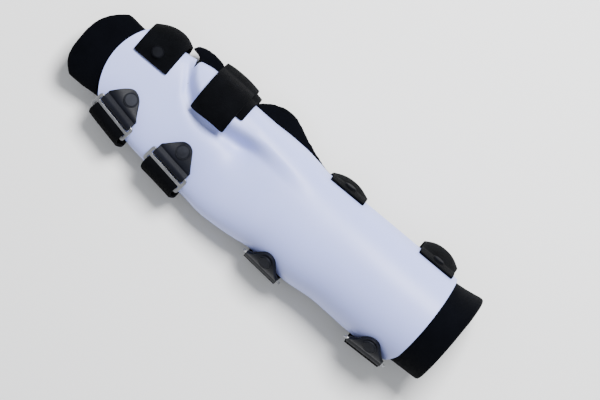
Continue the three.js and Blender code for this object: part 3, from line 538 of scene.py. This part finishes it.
def on_wall(along, arc, lift):
    """A point on the outer face, lifted off it. Past either edge the wall's line goes on straight."""
    y, z, arcs = section_at(along)
    inside = min(arcs[-1], max(0.0, arc))
    ends = (max(0.0, inside - HEADING_STEP), min(arcs[-1], inside + HEADING_STEP))
    run = np.diff(np.interp(ends, arcs, y))[0]
    climb = np.diff(np.interp(ends, arcs, z))[0]
    size = math.hypot(run, climb)
    run, climb = run / size, climb / size
    past = arc - inside
    across = np.interp(inside, arcs, y) + run * past + climb * lift + Y_SHIFT
    height = np.interp(inside, arcs, z) + climb * past - run * lift
    return Vector((FINGER_END_X - along * SHELL_LENGTH, float(across), float(height)))


# %% [markdown]
# The finger end is part of a circle, the cuff bulges a little and has one rounded corner, and a small notch
# is cut at the thumb's tip. The rows of the mesh bend to follow these outlines near the ends and run
# straight across in between, so that no face is cut through.

# %% Rows that follow the two ends, and the notch
END_REACH = 0.042
END_LIMIT = 0.98
CUFF_BULGE = 0.005
CUFF_CORNER = 0.005
CORNER_FROM, CORNER_RUN = 0.7, 0.3
NOTCH_ALONG = 0.172
NOTCH_WIDTH = 0.006
NOTCH_DEPTH = 0.009
NOTCH_FLAT, NOTCH_SLOPE = 0.12, 0.5
NOTCH_SHARE = 0.72


def notch_cut(along):
    """The arc length cut from the thumb edge for the small notch at the thumb's tip."""
    off = abs(along - NOTCH_ALONG) * SHELL_LENGTH
    share = max(0.0, 1 - max(0.0, off - NOTCH_WIDTH * NOTCH_FLAT) / (NOTCH_WIDTH * NOTCH_SLOPE))
    y, _, arcs = section_at(along)
    return share * (arcs[-1] - arc_across(along, y[-1] + NOTCH_DEPTH * smooth(share)))


def lattice_point(row, share):
    """Where a row crosses a column: rows near the ends bend to follow the end edges."""
    y, _, arcs = section_at(row)
    across = float(np.interp(share * arcs[-1], arcs, y))
    off = min(FINGER_END_RADIUS * END_LIMIT, abs(-across - FINGER_END_CENTRE * HALF_WIDTH))
    finger = FINGER_END_RADIUS - math.sqrt(FINGER_END_RADIUS**2 - off**2)
    cuff = (across / HALF_WIDTH) ** 2 * CUFF_BULGE * 0.5
    cuff += smooth((across - CORNER_FROM * HALF_WIDTH) / (CORNER_RUN * HALF_WIDTH)) * CUFF_CORNER
    along = row + finger * smooth(1 - row * SHELL_LENGTH / END_REACH) / SHELL_LENGTH
    along = float(along - cuff * smooth(1 - (1 - row) * SHELL_LENGTH / END_REACH) / SHELL_LENGTH)
    length = section_at(along)[2][-1]
    near_edge = max(0.0, share - NOTCH_SHARE) / (1 - NOTCH_SHARE)
    return on_wall(along, share * length - near_edge * notch_cut(along), 0)


print("the notch takes", round(float(notch_cut(NOTCH_ALONG)) * 1000, 1), "mm round the arch off the edge")

# %% [markdown]
# A mesh starts as a flat grid, and each of its points is carried to its place on the form. Most pieces go
# through the same few steps, so these are written once: a mapped grid, a wall thickness, a bevel along the
# sharp edges, and the call that gives a piece its material, hangs it on the body and hides the measured
# piece it stands for.

# %% Mesh helpers


def new_object(name, bm):
    """Links a finished bmesh as a smooth-shaded object at the origin."""
    mesh = bpy.data.meshes.new(name)
    bm.to_mesh(mesh)
    bm.free()
    for face in mesh.polygons:
        face.use_smooth = True
    piece = bpy.data.objects.new(name, mesh)
    bpy.context.scene.collection.objects.link(piece)
    return piece


def mapped_grid(name, along_cuts, across_cuts, place):
    """A grid whose corners run from 0 to 1 both ways, with each point sent through a function."""
    bm = bmesh.new()
    bmesh.ops.create_grid(bm, x_segments=along_cuts, y_segments=across_cuts, size=1)
    for v in bm.verts:
        v.co = place((v.co.x + 1) / 2, (v.co.y + 1) / 2)
    return new_object(name, bm)


def keep_sharp(piece, degrees):
    """Faces that meet at more than an angle keep a crisp edge between them."""
    piece.data.set_sharp_from_angle(angle=math.radians(degrees))


def subdivide(piece):
    """Two rounds of subdivision, the same for the view and the render."""
    rounding = piece.modifiers.new("rounding", "SUBSURF")
    rounding.levels = 2
    rounding.render_levels = 2


def thicken(piece, thickness, offset):
    """Even wall thickness about an open sheet."""
    wall = piece.modifiers.new("wall", "SOLIDIFY")
    wall.thickness = thickness
    wall.offset = offset
    wall.use_even_offset = True


def break_edges(piece, width, segments, degrees):
    """A narrow rounded bevel along the edges that are sharper than an angle."""
    edge = piece.modifiers.new("broken_edge", "BEVEL")
    edge.width = width
    edge.segments = segments
    edge.limit_method = "ANGLE"
    edge.angle_limit = math.radians(degrees)


def dress(piece, node, material):
    """Material slot and body of a piece that stands for a measured node, and the node hidden."""
    piece.data.materials.clear()
    piece.data.materials.append(material)
    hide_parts(node)
    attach(piece, "root")


print("mesh helpers:", mapped_grid.__name__, thicken.__name__, subdivide.__name__, break_edges.__name__)

# %% [markdown]
# For the shell, the grid's X runs along the splint and its Y round the arch. Rows are packed closely where
# the small notch is and loosely along the plain forearm. Solidify gives the wall, inwards from the outer
# face, and a narrow bevel breaks the cut edges as a file does on the real sheet. Cutting the outline out of
# a larger sheet would leave ragged faces along the cut, and the plastic's shine would show them.

# %% Shell mesh
ROW_SHARES = (0, 0.2, 0.35, 0.75, 1)
ROW_PLACES = (0, 0.152, 0.194, 0.6, 1)
ALONG_CUTS = 260
AROUND_CUTS = 110

shell = mapped_grid(
    "splint_shell",
    ALONG_CUTS,
    AROUND_CUTS,
    lambda q, share: lattice_point(float(np.interp(q, ROW_SHARES, ROW_PLACES)), share),
)
thicken(shell, SHELL_WALL, -1)
break_edges(shell, width=0.0007, segments=2, degrees=60)
dress(shell, "shell", shell_plastic)
print("shell:", len(shell.data.polygons), "faces")

# %% [markdown]
# ## Places for straps and buckles
# Everything on the shell is placed by its distance along the splint and by the arc length from the
# little-finger edge, with a lift off the surface. So a strap hugs the wall whatever the wall does. A slide
# is rigid, so it gets a flat frame of its own: along the splint, down the wall and outwards. The table says
# where each strap's fixed end and slide are, how it leaves the wall and bows, and how many degrees its
# slide is turned.

# %% Strap and buckle sizes
STRAP_WIDTH = 0.038
STRAP_THICKNESS = 0.0025
GAP = 0.0003
TAB_LENGTH = 0.024
TAB_APEX_RADIUS = 0.009
RIVET_DROP = TAB_APEX_RADIUS * 0.85
BAR_PITCH = 0.007
BAR_LIFT = 0.0048

Strap = namedtuple("Strap", "name root_along slide_along apex root leave bow curl turn rivet_from_end")
STRAPS = [
    Strap("finger", 0.083, 0.109, 0.09, 0.486, 0.016, 0.016, 0.5, 9, 0.011),
    Strap("hand", 0.279, 0.287, 0.2, 0.44, 0.014, 0.012, 0.2, 7, 0),
    Strap("wrist", 0.652, 0.609, 0.774, 0.94, 0.004, 0.010, 0.75, 0, 0.011),
    Strap("forearm", 0.928, 0.93, 0.738, 0.94, 0.005, 0.017, 0.5, 0, 0.011),
]
print("straps:", [strap.name for strap in STRAPS])

# %% Frames on the wall
WALL_STEP = 0.002
OUT_PROBE = 0.001
Frame = namedtuple("Frame", "origin u w out")


def wall_frame(along, arc, lift, turn=0.0):
    """A rigid frame on the wall: u along the splint to the cuff, w down the wall, out away from it."""
    origin = on_wall(along, arc, 0)
    down = (on_wall(along, arc - WALL_STEP, 0) - on_wall(along, arc + WALL_STEP, 0)).normalized()
    share = WALL_STEP / SHELL_LENGTH
    cuffward = on_wall(along + share, arc, 0) - on_wall(along - share, arc, 0)
    out = down.cross(cuffward).normalized()
    if out.dot(on_wall(along, arc, OUT_PROBE) - origin) < 0:
        out.negate()
    side = out.cross(down).normalized()
    if side.x > 0:
        side.negate()
    u = side * math.cos(turn) + down * math.sin(turn)
    w = down * math.cos(turn) - side * math.sin(turn)
    return Frame(origin + out * lift, u, w, out)


def in_frame(frame, a, b, c):
    """A point given in a wall frame."""
    return frame.origin + frame.u * a + frame.w * b + frame.out * c


Fastener = namedtuple("Fastener", "slide_along slide_arc frame turn")


def fastener(strap):
    """Where a strap's slide sits, and how it is turned."""
    apex_arc = arc_across(strap.slide_along, strap.apex * HALF_WIDTH)
    turn = math.radians(strap.turn)
    reach = TAB_LENGTH - RIVET_DROP + BAR_PITCH
    slide_along = strap.slide_along - reach * math.sin(turn) / SHELL_LENGTH
    slide_arc = apex_arc - RIVET_DROP - reach * math.cos(turn)
    bar_frame = wall_frame(slide_along, slide_arc, BAR_LIFT, turn)
    return Fastener(slide_along, slide_arc, bar_frame, turn)


for strap in STRAPS:
    print(strap.name, "slide at", [round(v, 3) for v in fastener(strap).frame.origin])

# %% [markdown]
# ## Straps
# A strap is one long ribbon of brushed loop tape. Its middle line is traced at several places across its
# width: over the thumb side, out and down round the edge, under the splint along the floor, up the
# little-finger side, round the slide's outer bar and back on itself. Those lines are the rows of a grid. A
# cloth simulation could find the same shape, but a strap that is held at both ends hardly hangs, and a
# traced line always meets the slide. A subdivision surface rounds the ribbon and its corners, and Solidify
# gives it the tape's thickness.

# %% Layers, steps and bends of a strap
LAYER = STRAP_THICKNESS + GAP
RIDGE_EASE = 0.0014
HAND_LIFT = 3 * GAP + LAYER + RIDGE_EASE
FOLD_RADIUS = 0.0031
FOLD_LEAD = 0.003
FOLD_SETBACK = 0.0002
FLOOR_INSET = 0.016
FLOOR_LEAD = 0.2
LAYER_STEP = 0.014
BOW_ABOVE = 0.7
BOW_BELOW = 1.5
CURL_POWER = 2.5
FALL_SHARE = 0.45
CLIMB_INSET = 0.8
CLIMB_RISE = 0.3
TAIL_SHARE = 0.55
TAIL_STOPS = (0.25, 0.5, 0.75, 0.92)
WALL_STEPS = 14
BEND_STEPS = 16
EDGE_STEPS = 10


def mix(a, b, q):
    """A value between two."""
    return a + (b - a) * q


def off_line(before, after, distance):
    """A step square to a line's heading, in the plane across the splint."""
    heading = Vector((0, after.y - before.y, after.z - before.z)).normalized()
    return Vector((0, -heading.z, heading.y)) * distance


print("one layer:", round(LAYER * 1000, 1), "mm, hand strap lifted", round(HAND_LIFT * 1000, 1), "mm")

# %% Parts of a strap's line


def climb_line(start, outer, entry, bar_frame, little_along, little_edge):
    """From the floor up to the slide's outer bar, round the wall's edge where the slide stands above it."""
    outward = start + Vector((0, FLOOR_INSET * CLIMB_INSET, 0))
    rise = (outer - start).length * CLIMB_RISE
    if in_frame(bar_frame, 0, BAR_PITCH, 0).z <= little_edge.z + STRAP_THICKNESS * 3:
        return interpolate_bezier(start, outward, outer + entry * rise, outer, BEND_STEPS + 1)
    round_edge = on_wall(little_along, 0, 3 * GAP + STRAP_THICKNESS / 2)
    below = round_edge - Vector((0, 0, round_edge.z * 0.5))
    above = round_edge + Vector((0, 0, STRAP_THICKNESS * 2))
    first = interpolate_bezier(start, outward, below, round_edge, EDGE_STEPS + 1)
    last_steps = BEND_STEPS - EDGE_STEPS + 1
    return first + interpolate_bezier(round_edge, above, outer + entry * rise / 3, outer, last_steps)[1:]


def fold_line(bar_frame, u):
    """The half turn round the slide's outer bar."""
    line = []
    for i in range(BEND_STEPS + 1):
        angle = -math.pi / 2 - i / BEND_STEPS * math.pi
        reach = BAR_PITCH - FOLD_SETBACK + math.cos(angle) * (FOLD_RADIUS + FOLD_SETBACK)
        line.append(in_frame(bar_frame, u, reach, math.sin(angle) * FOLD_RADIUS))
    return line + [in_frame(bar_frame, u, BAR_PITCH + FOLD_LEAD, FOLD_RADIUS)]


def laid_back(climb, outer):
    """The climb again from the bar down to the floor, one layer outside it."""
    back = climb[-2::-1]
    line = []
    for i, p in enumerate(back):
        before = outer if i == 0 else back[i - 1]
        after = p - Vector((0, 0.001, 0)) if i == len(back) - 1 else back[i + 1]
        apart = mix(2 * FOLD_RADIUS, LAYER, float(smooth((i + 1) / (len(back) / 2))))
        line.append(p + off_line(before, after, apart))
    return line


print("parts of a line:", climb_line.__name__, fold_line.__name__, laid_back.__name__)

# %% One line of a strap


def strap_line(strap, u, base_lift):
    """The strap's middle line at one place across its width, from the fixed end to the free tail."""
    bar_frame = fastener(strap).frame
    root_along = strap.root_along + u / SHELL_LENGTH
    little_along = strap.slide_along + u / SHELL_LENGTH
    length = section_at(root_along)[2][-1]
    root_arc = arc_across(root_along, -strap.root * HALF_WIDTH)
    lift = base_lift + STRAP_THICKNESS / 2
    arcs = np.linspace(root_arc, length - strap.leave, WALL_STEPS)
    line = [on_wall(root_along, arc, lift) for arc in arcs]

    def x(q):
        return FINGER_END_X - mix(strap.root_along, strap.slide_along, q) * SHELL_LENGTH - u

    floor_height = STRAP_THICKNESS / 2
    little_edge = on_wall(little_along, 0, 0)
    start = Vector((x(FLOOR_LEAD), on_wall(root_along, length, 0).y + FLOOR_INSET, floor_height))
    end = Vector((x(1 - FLOOR_LEAD), little_edge.y - FLOOR_INSET, floor_height + LAYER))
    heading = (line[-1] - line[-2]).normalized()
    bow = strap.bow * (1 - strap.curl * abs(2 * u / STRAP_WIDTH) ** CURL_POWER)
    above = line[-1] + heading * line[-1].z * FALL_SHARE - Vector((0, bow * BOW_ABOVE, 0))
    below = start - Vector((0, FLOOR_INSET + bow * BOW_BELOW, 0))
    line += interpolate_bezier(line[-1], above, below, start, BEND_STEPS + 1)[1:]
    run = end.y - start.y
    tail_start = end.y - run * TAIL_SHARE
    for q in (-LAYER_STEP, -LAYER_STEP / 2, 0):
        share = (tail_start + q - start.y) / run
        place = x(mix(FLOOR_LEAD, 1 - FLOOR_LEAD, share))
        line.append(Vector((place, tail_start + q, floor_height + LAYER * smooth(1 + q / LAYER_STEP))))
    outer = in_frame(bar_frame, u, BAR_PITCH + FOLD_LEAD, -FOLD_RADIUS)
    entry = (bar_frame.w * 0.5 + Vector((0, 0, -0.5))).normalized()
    climb = climb_line(end, outer, entry, bar_frame, little_along, little_edge)
    line += climb + fold_line(bar_frame, u) + laid_back(climb, outer)
    for q in TAIL_STOPS:
        place = x(mix(1 - FLOOR_LEAD, FLOOR_LEAD, q * TAIL_SHARE))
        line.append(Vector((place, mix(end.y, tail_start, q), floor_height)))
    return line


print("finger strap's line:", len(strap_line(STRAPS[0], 0.0, GAP)), "points")

# %% [markdown]
# The thumb strap lies under the hand strap's fixed end. Its line is taken from the hand strap's, a little
# over one layer further in, so that the two stay apart the whole way round the ridge. It ends at the
# thumb's underside.

# %% One line of the thumb strap
THUMB_ALONG = 0.298
THUMB_ROOT = 0.72
THUMB_END = 0.016
THUMB_RISE = 0.0004


def thumb_strap_line(u):
    """The short strap under the hand strap, from the thumb ridge round to the underside of the thumb."""
    along = THUMB_ALONG + u / SHELL_LENGTH
    hand = next(strap for strap in STRAPS if strap.name == "hand")
    outer = strap_line(hand._replace(root_along=THUMB_ALONG, slide_along=THUMB_ALONG), u, HAND_LIFT)
    length = section_at(along)[2][-1]
    arcs = np.linspace(arc_across(along, -THUMB_ROOT * HALF_WIDTH), length - hand.leave, WALL_STEPS)
    line = [on_wall(along, arc, 2 * GAP + STRAP_THICKNESS / 2) for arc in arcs]
    for i in range(WALL_STEPS, WALL_STEPS + BEND_STEPS):
        line.append(outer[i] + off_line(outer[i - 1], outer[i + 1], LAYER + RIDGE_EASE))
    last = line[-1]
    line += [last + Vector((0, THUMB_END * q, THUMB_RISE * q)) for q in (0.33, 0.66, 1)]
    return line


print("thumb strap's line:", len(thumb_strap_line(0.0)), "points")

# %% [markdown]
# Seven such lines lie side by side across each strap.

# %% Strap pieces
ACROSS_STEPS = 6


def ribbon(name, lines):
    """A grid over equal lines, rounded, given the tape's thickness, and with softened edges."""
    rows, columns = len(lines[0]) - 1, len(lines) - 1
    piece = mapped_grid(name, rows, columns, lambda q, share: lines[round(share * columns)][round(q * rows)])
    subdivide(piece)
    thicken(piece, STRAP_THICKNESS, 0)
    break_edges(piece, width=0.0005, segments=2, degrees=60)
    return piece


STATIONS = np.linspace(-0.5, 0.5, ACROSS_STEPS + 1) * STRAP_WIDTH
for strap in STRAPS:
    base_lift = HAND_LIFT if strap.name == "hand" else GAP
    lines = [strap_line(strap, float(u), base_lift) for u in STATIONS]
    band = ribbon(f"{strap.name}_webbing", lines)
    dress(band, f"{strap.name}_strap", loop_tape)

lines = [thumb_strap_line(float(u)) for u in STATIONS]
band = ribbon("thumb_webbing", lines)
dress(band, "thumb_strap", loop_tape)

# %% [markdown]
# ## Tabs
# Each tab is one strip of coated leather, folded round the slide's inner bar so that both ends lie under
# the rivet. It narrows to a blunt point at the rivet. A pressed line holds the two layers together just
# above the bar, where the loop swells into a rib. It could be cut flat and bent with a modifier, but a tab
# has to follow the wall at one end and the rigid slide at the other. So it is mapped like the strap, with
# its own outline.

# %% Tab outline
TAB_THICKNESS = 0.0016
TAB_SHOULDER = 0.0165
ROUND_HALF = TAB_APEX_RADIUS * 0.8
TAB_SHARES = (0, 0.14, 0.28, 0.42, 0.55, 0.66, 0.75, 0.82, 0.87, 0.91, 0.945, 0.975, 1)
LOOP_STEPS = 14
UNDER_STEPS = 4
LOOP_OPENING = math.pi * 0.8
LOOP_RADIUS = 0.0035
RIB_RISE = 0.0024
PINCH = 0.0052
PRESS_DEPTH = 0.0008
PRESS_WIDTH = 0.001
PINCH_LIFT = 0.0039
TAB_LEAVES = -0.028


def tab_reach(u):
    """How far up from the inner bar the tab reaches at a distance from its middle line."""
    a = abs(u)
    centre = TAB_LENGTH - TAB_APEX_RADIUS
    if a <= ROUND_HALF:
        return centre + math.sqrt(TAB_APEX_RADIUS**2 - a**2)
    round_end = centre + math.sqrt(TAB_APEX_RADIUS**2 - ROUND_HALF**2)
    return mix(round_end, TAB_LENGTH - TAB_SHOULDER, (a - ROUND_HALF) / (STRAP_WIDTH / 2 - ROUND_HALF))


def leaving(w):
    """How far the tab has left the wall for the bar: 0 above the rivet and 1 at the pressed line."""
    return float(smooth((w - TAB_LEAVES) / (-BAR_PITCH - PINCH - TAB_LEAVES)))


def middle(w):
    """The lift of the middle of the tab's two layers."""
    return mix(2 * GAP + TAB_THICKNESS, PINCH_LIFT, leaving(w))


def tab_profile(u):
    """Places down the wall and lifts of one line of the tab: the upper layer, the loop, the lower layer."""
    top = -BAR_PITCH - tab_reach(u)
    pinch = -BAR_PITCH - PINCH
    apart = (TAB_THICKNESS + GAP) / 2
    line = []
    for share in TAB_SHARES:
        w = mix(top, pinch, share)
        pressed = PRESS_DEPTH * math.exp(-(((w - pinch + PRESS_WIDTH) / PRESS_WIDTH) ** 2))
        line.append((w, middle(w) + apart - pressed))
    for i in range(LOOP_STEPS + 1):
        angle = LOOP_OPENING * (1 - 2 * i / LOOP_STEPS)
        line.append((-BAR_PITCH + math.cos(angle) * LOOP_RADIUS, BAR_LIFT + math.sin(angle) * RIB_RISE))
    return line + [(w, middle(w) - apart) for w in np.linspace(pinch, top, UNDER_STEPS)]


def tab_point(fast, u, w, lift):
    """On the wall at the rivet, on the slide's rigid frame at the bar, and easing from one to the other."""
    along = fast.slide_along + (u * math.cos(fast.turn) - w * math.sin(fast.turn)) / SHELL_LENGTH
    arc = fast.slide_arc - w * math.cos(fast.turn) - u * math.sin(fast.turn)
    return on_wall(along, arc, lift).lerp(in_frame(fast.frame, u, w, lift - BAR_LIFT), leaving(w))


print("a tab reaches", [round(tab_reach(u) * 1000, 1) for u in (0, STRAP_WIDTH / 2)], "mm past its bar")

# %% Tabs
TAB_STATIONS = 28
TAB_ROWS = len(TAB_SHARES) + LOOP_STEPS + UNDER_STEPS

for strap in STRAPS:
    fast = fastener(strap)

    def place_tab(q, share, fast=fast):
        u = (share - 0.5) * STRAP_WIDTH
        w, lift = tab_profile(u)[round(q * TAB_ROWS)]
        return tab_point(fast, u, w, lift)

    tab = mapped_grid(f"{strap.name}_tab_leather", TAB_ROWS, TAB_STATIONS, place_tab)
    thicken(tab, TAB_THICKNESS, 0)
    break_edges(tab, width=0.00035, segments=2, degrees=50)
    dress(tab, f"{strap.name}_tab", tab_leather)
    print(tab.name, len(tab.data.polygons), "faces")

# %% [markdown]
# ## Slides and rivets
# The slides keep the measured solid's outline with its two windows. Its triangles are dissolved into flat
# faces, and a wide bevel turns the square bars into round wire. New slides could be built from tubes, but
# the measured ones already stand in the right place.

# %% Slides
WELD = 2e-6
FLAT_ANGLE = math.radians(3)

for strap in STRAPS:
    bm = bmesh.new()
    bm.from_mesh(frame["nodes"][f"{strap.name}_slide"].data)
    bmesh.ops.remove_doubles(bm, verts=bm.verts, dist=WELD)
    bmesh.ops.dissolve_limit(bm, angle_limit=FLAT_ANGLE, verts=bm.verts, edges=bm.edges)
    slide = new_object(f"{strap.name}_slide_metal", bm)
    break_edges(slide, width=0.00085, segments=4, degrees=35)
    keep_sharp(slide, degrees=30)
    dress(slide, f"{strap.name}_slide", plated_steel)
    print(slide.name, len(slide.data.polygons), "faces")

# %% [markdown]
# The rivets are turned parts, so each is one half profile spun round its own axis: a flat cap with a fine
# ring groove and a rolled rim, and the shank below. A strap's rivet stands square on the wall. A tab's
# rivet stands square on the tab's upper face, because the tab already leans away from the wall there, and a
# cap set square on the wall would cut into the leather.

# %% Rivets
SHANK_RADIUS = 0.0022
TAB_RIVET_RADIUS = 0.007
STRAP_RIVET_RADIUS = 0.006
TAB_SEAT = 4 * GAP + 2 * TAB_THICKNESS
STRAP_SEAT = 2 * GAP + STRAP_THICKNESS
SPIN_STEPS = 48
SEAM_WELD = 1e-6
CAP_CLEARANCE = 0.0002
PROBE_RADIUS = TAB_RIVET_RADIUS * 0.8
CAP_PROFILE = (
    (1.0, 0.0),
    (1.0, 0.0005),
    (0.975, 0.0009),
    (0.93, 0.00105),
    (0.885, 0.0009),
    (0.87, 0.0005),
    (0.845, 0.0005),
    (0.83, 0.0011),
    (0.78, 0.0014),
    (0.4, 0.0015),
    (0.0, 0.00155),
)


def rivet(name, seat_frame, radius, seat, plating):
    """A turned rivet that stands on a frame's normal, with its cap resting at a height called the seat."""
    bm = bmesh.new()
    profile = [(0, -SHELL_WALL), (SHANK_RADIUS, -SHELL_WALL), (SHANK_RADIUS, seat)]
    profile += [(radius * r, seat + z) for r, z in CAP_PROFILE]
    verts = [bm.verts.new((r, 0, z)) for r, z in profile]
    edges = [bm.edges.new(pair) for pair in zip(verts, verts[1:])]
    still = (0, 0, 0)
    bmesh.ops.spin(
        bm,
        geom=verts + edges,
        cent=still,
        axis=(0, 0, 1),
        dvec=still,
        angle=math.tau,
        steps=SPIN_STEPS,
        use_merge=True,
    )
    bmesh.ops.remove_doubles(bm, verts=bm.verts, dist=SEAM_WELD)
    bmesh.ops.recalc_face_normals(bm, faces=bm.faces)
    across = seat_frame.w.cross(seat_frame.out)
    turn = Matrix((across, seat_frame.w, seat_frame.out)).transposed().to_4x4()
    bmesh.ops.transform(bm, matrix=Matrix.Translation(seat_frame.origin) @ turn, verts=bm.verts)
    piece = new_object(f"{name}_cap", bm)
    keep_sharp(piece, degrees=32)
    dress(piece, name, plating)
    print(piece.name, len(piece.data.polygons), "faces")


def tab_top_frame(fast):
    """A frame on the tab's own upper face, so that the cap lies flat on it, with the wall TAB_SEAT below."""
    w = -BAR_PITCH - TAB_LENGTH + RIVET_DROP
    above = TAB_THICKNESS + GAP / 2

    def top(a, b):
        return tab_point(fast, a, w + b, middle(w + b) + above)

    r = PROBE_RADIUS
    down = (top(0, r) - top(0, -r)).normalized()
    out = (top(r, 0) - top(-r, 0)).cross(down).normalized()
    if out.dot(fast.frame.out) < 0:
        out.negate()
    centre = (top(0, r) + top(0, -r) + top(r, 0) + top(-r, 0)) / 4
    return Frame(centre - out * (TAB_SEAT - CAP_CLEARANCE), down.cross(out), down, out)


for strap in STRAPS:
    tab_frame = tab_top_frame(fastener(strap))
    rivet(f"{strap.name}_tab_rivet", tab_frame, TAB_RIVET_RADIUS, TAB_SEAT, rivet_plating)
    if strap.rivet_from_end:
        arc = arc_across(strap.root_along, -strap.root * HALF_WIDTH) + strap.rivet_from_end
        seat_frame = wall_frame(strap.root_along, arc, 0)
        rivet(f"{strap.name}_strap_rivet", seat_frame, STRAP_RIVET_RADIUS, STRAP_SEAT, blackened_plating)

# %% [markdown]
# ## Liners
# The liners are soft foam with a felt face. They could be mapped like the shell, but then two outlines
# would have to be kept in step. The measured solids already have them, so each is copied, remeshed into
# small even faces and relaxed. That takes the edge off everything, as felt has no sharp edge. A crease
# keeps the cut rim from shrinking away while the faces round off.

# %% Remeshed liners
LINER_VOXEL = 0.0015
EASE_ROUNDS = 7
RIM_ANGLE = math.radians(55)
RIM_CREASE = 0.9


def relaxed_copy(node, name):
    """A measured solid remeshed finely and smoothed, with both steps applied."""
    bm = bmesh.new()
    bm.from_mesh(frame["nodes"][node].data)
    bmesh.ops.remove_doubles(bm, verts=bm.verts, dist=WELD)
    bmesh.ops.join_triangles(bm, faces=bm.faces, angle_face_threshold=0.7, angle_shape_threshold=1.0)
    crease = bm.edges.layers.float.new("crease_edge")
    for edge in bm.edges:
        edge[crease] = RIM_CREASE if edge.calc_face_angle(0) > RIM_ANGLE else 0
    piece = new_object(name, bm)
    subdivide(piece)
    remesh = piece.modifiers.new("remesh", "REMESH")
    remesh.mode = "VOXEL"
    remesh.voxel_size = LINER_VOXEL
    ease = piece.modifiers.new("ease", "SMOOTH")
    ease.factor = 0.5
    ease.iterations = EASE_ROUNDS
    bpy.context.view_layer.update()
    baked = bpy.data.meshes.new_from_object(piece.evaluated_get(bpy.context.evaluated_depsgraph_get()))
    piece.modifiers.clear()
    piece.data = baked
    for face in baked.polygons:
        face.use_smooth = True
    return piece


pads = {node: relaxed_copy(node, f"{node}_pad") for node in ("liner", "thumb_liner")}
print("liners:", {pad.name: len(pad.data.polygons) for pad in pads.values()}, "faces")

# %% [markdown]
# Where the foam runs past the shell nothing holds it, and it spreads. So the main liner's finger end is
# pushed outwards, and the thumb liner's tip is drawn out until felt fills the notch. Last, what the
# rounding left too near the shell's outer face is tucked under it, because felt that came through the
# plastic would show as specks.

# %% Liner ends, and the tuck under the shell
FLARE = 0.0035
FLARE_RUN = 0.016
TIP_SHIFT = Vector((0.0042, -0.0046, 0))
TIP_RUN = 0.026
COVER_REACH = 0.006
UNDER_COVER = SHELL_WALL + 0.0002
FACING_SHARE = 0.94


def flare_end(pad):
    """Spreads the part of the liner past the shell's finger end, as soft foam does once nothing holds it."""
    centre = Vector((FINGER_END_X - FINGER_END_RADIUS, Y_SHIFT - FINGER_END_CENTRE * HALF_WIDTH))
    moved = 0
    for v in pad.data.vertices:
        ray = v.co.xy - centre
        share = float(smooth((ray.length - FINGER_END_RADIUS) / FLARE_RUN)) if ray.x > 0 else 0
        if share > 0:
            v.co.xy += ray.normalized() * FLARE * share
            moved += 1
    return moved


def shift_tip(pad):
    """Draws the thumb liner's tip out past the shell, so that felt fills the notch as in the picture."""
    tip = max(v.co.x for v in pad.data.vertices)
    moved = 0
    for v in pad.data.vertices:
        share = float(smooth((v.co.x - tip + TIP_RUN) / TIP_RUN))
        v.co += TIP_SHIFT * share
        moved += share > 0
    return moved


def tuck_under(pad, cover):
    """Moves what stands too near the shell's outer face, under it, back along the face's normal."""
    tree = BVHTree.FromObject(cover, bpy.context.evaluated_depsgraph_get(), deform=True)
    moved = 0
    for v in pad.data.vertices:
        foot, normal, _, distance = tree.find_nearest(v.co, COVER_REACH)
        if foot is None or abs((v.co - foot).dot(normal)) < FACING_SHARE * distance:
            continue
        height = (v.co - foot).dot(normal)
        if height > -UNDER_COVER:
            v.co -= normal * (height + UNDER_COVER)
            moved += 1
    return moved


outer_face = bpy.data.objects.new("outer_face", shell.data)
bpy.context.scene.collection.objects.link(outer_face)
bpy.context.view_layer.update()
for node, pad in pads.items():
    drawn_out = flare_end(pad) if node == "liner" else shift_tip(pad)
    print(node, "points drawn out past the shell:", drawn_out)
    print(node, "points tucked under the shell:", tuck_under(pad, outer_face))
    dress(pad, node, felt)

bpy.data.objects.remove(outer_face)
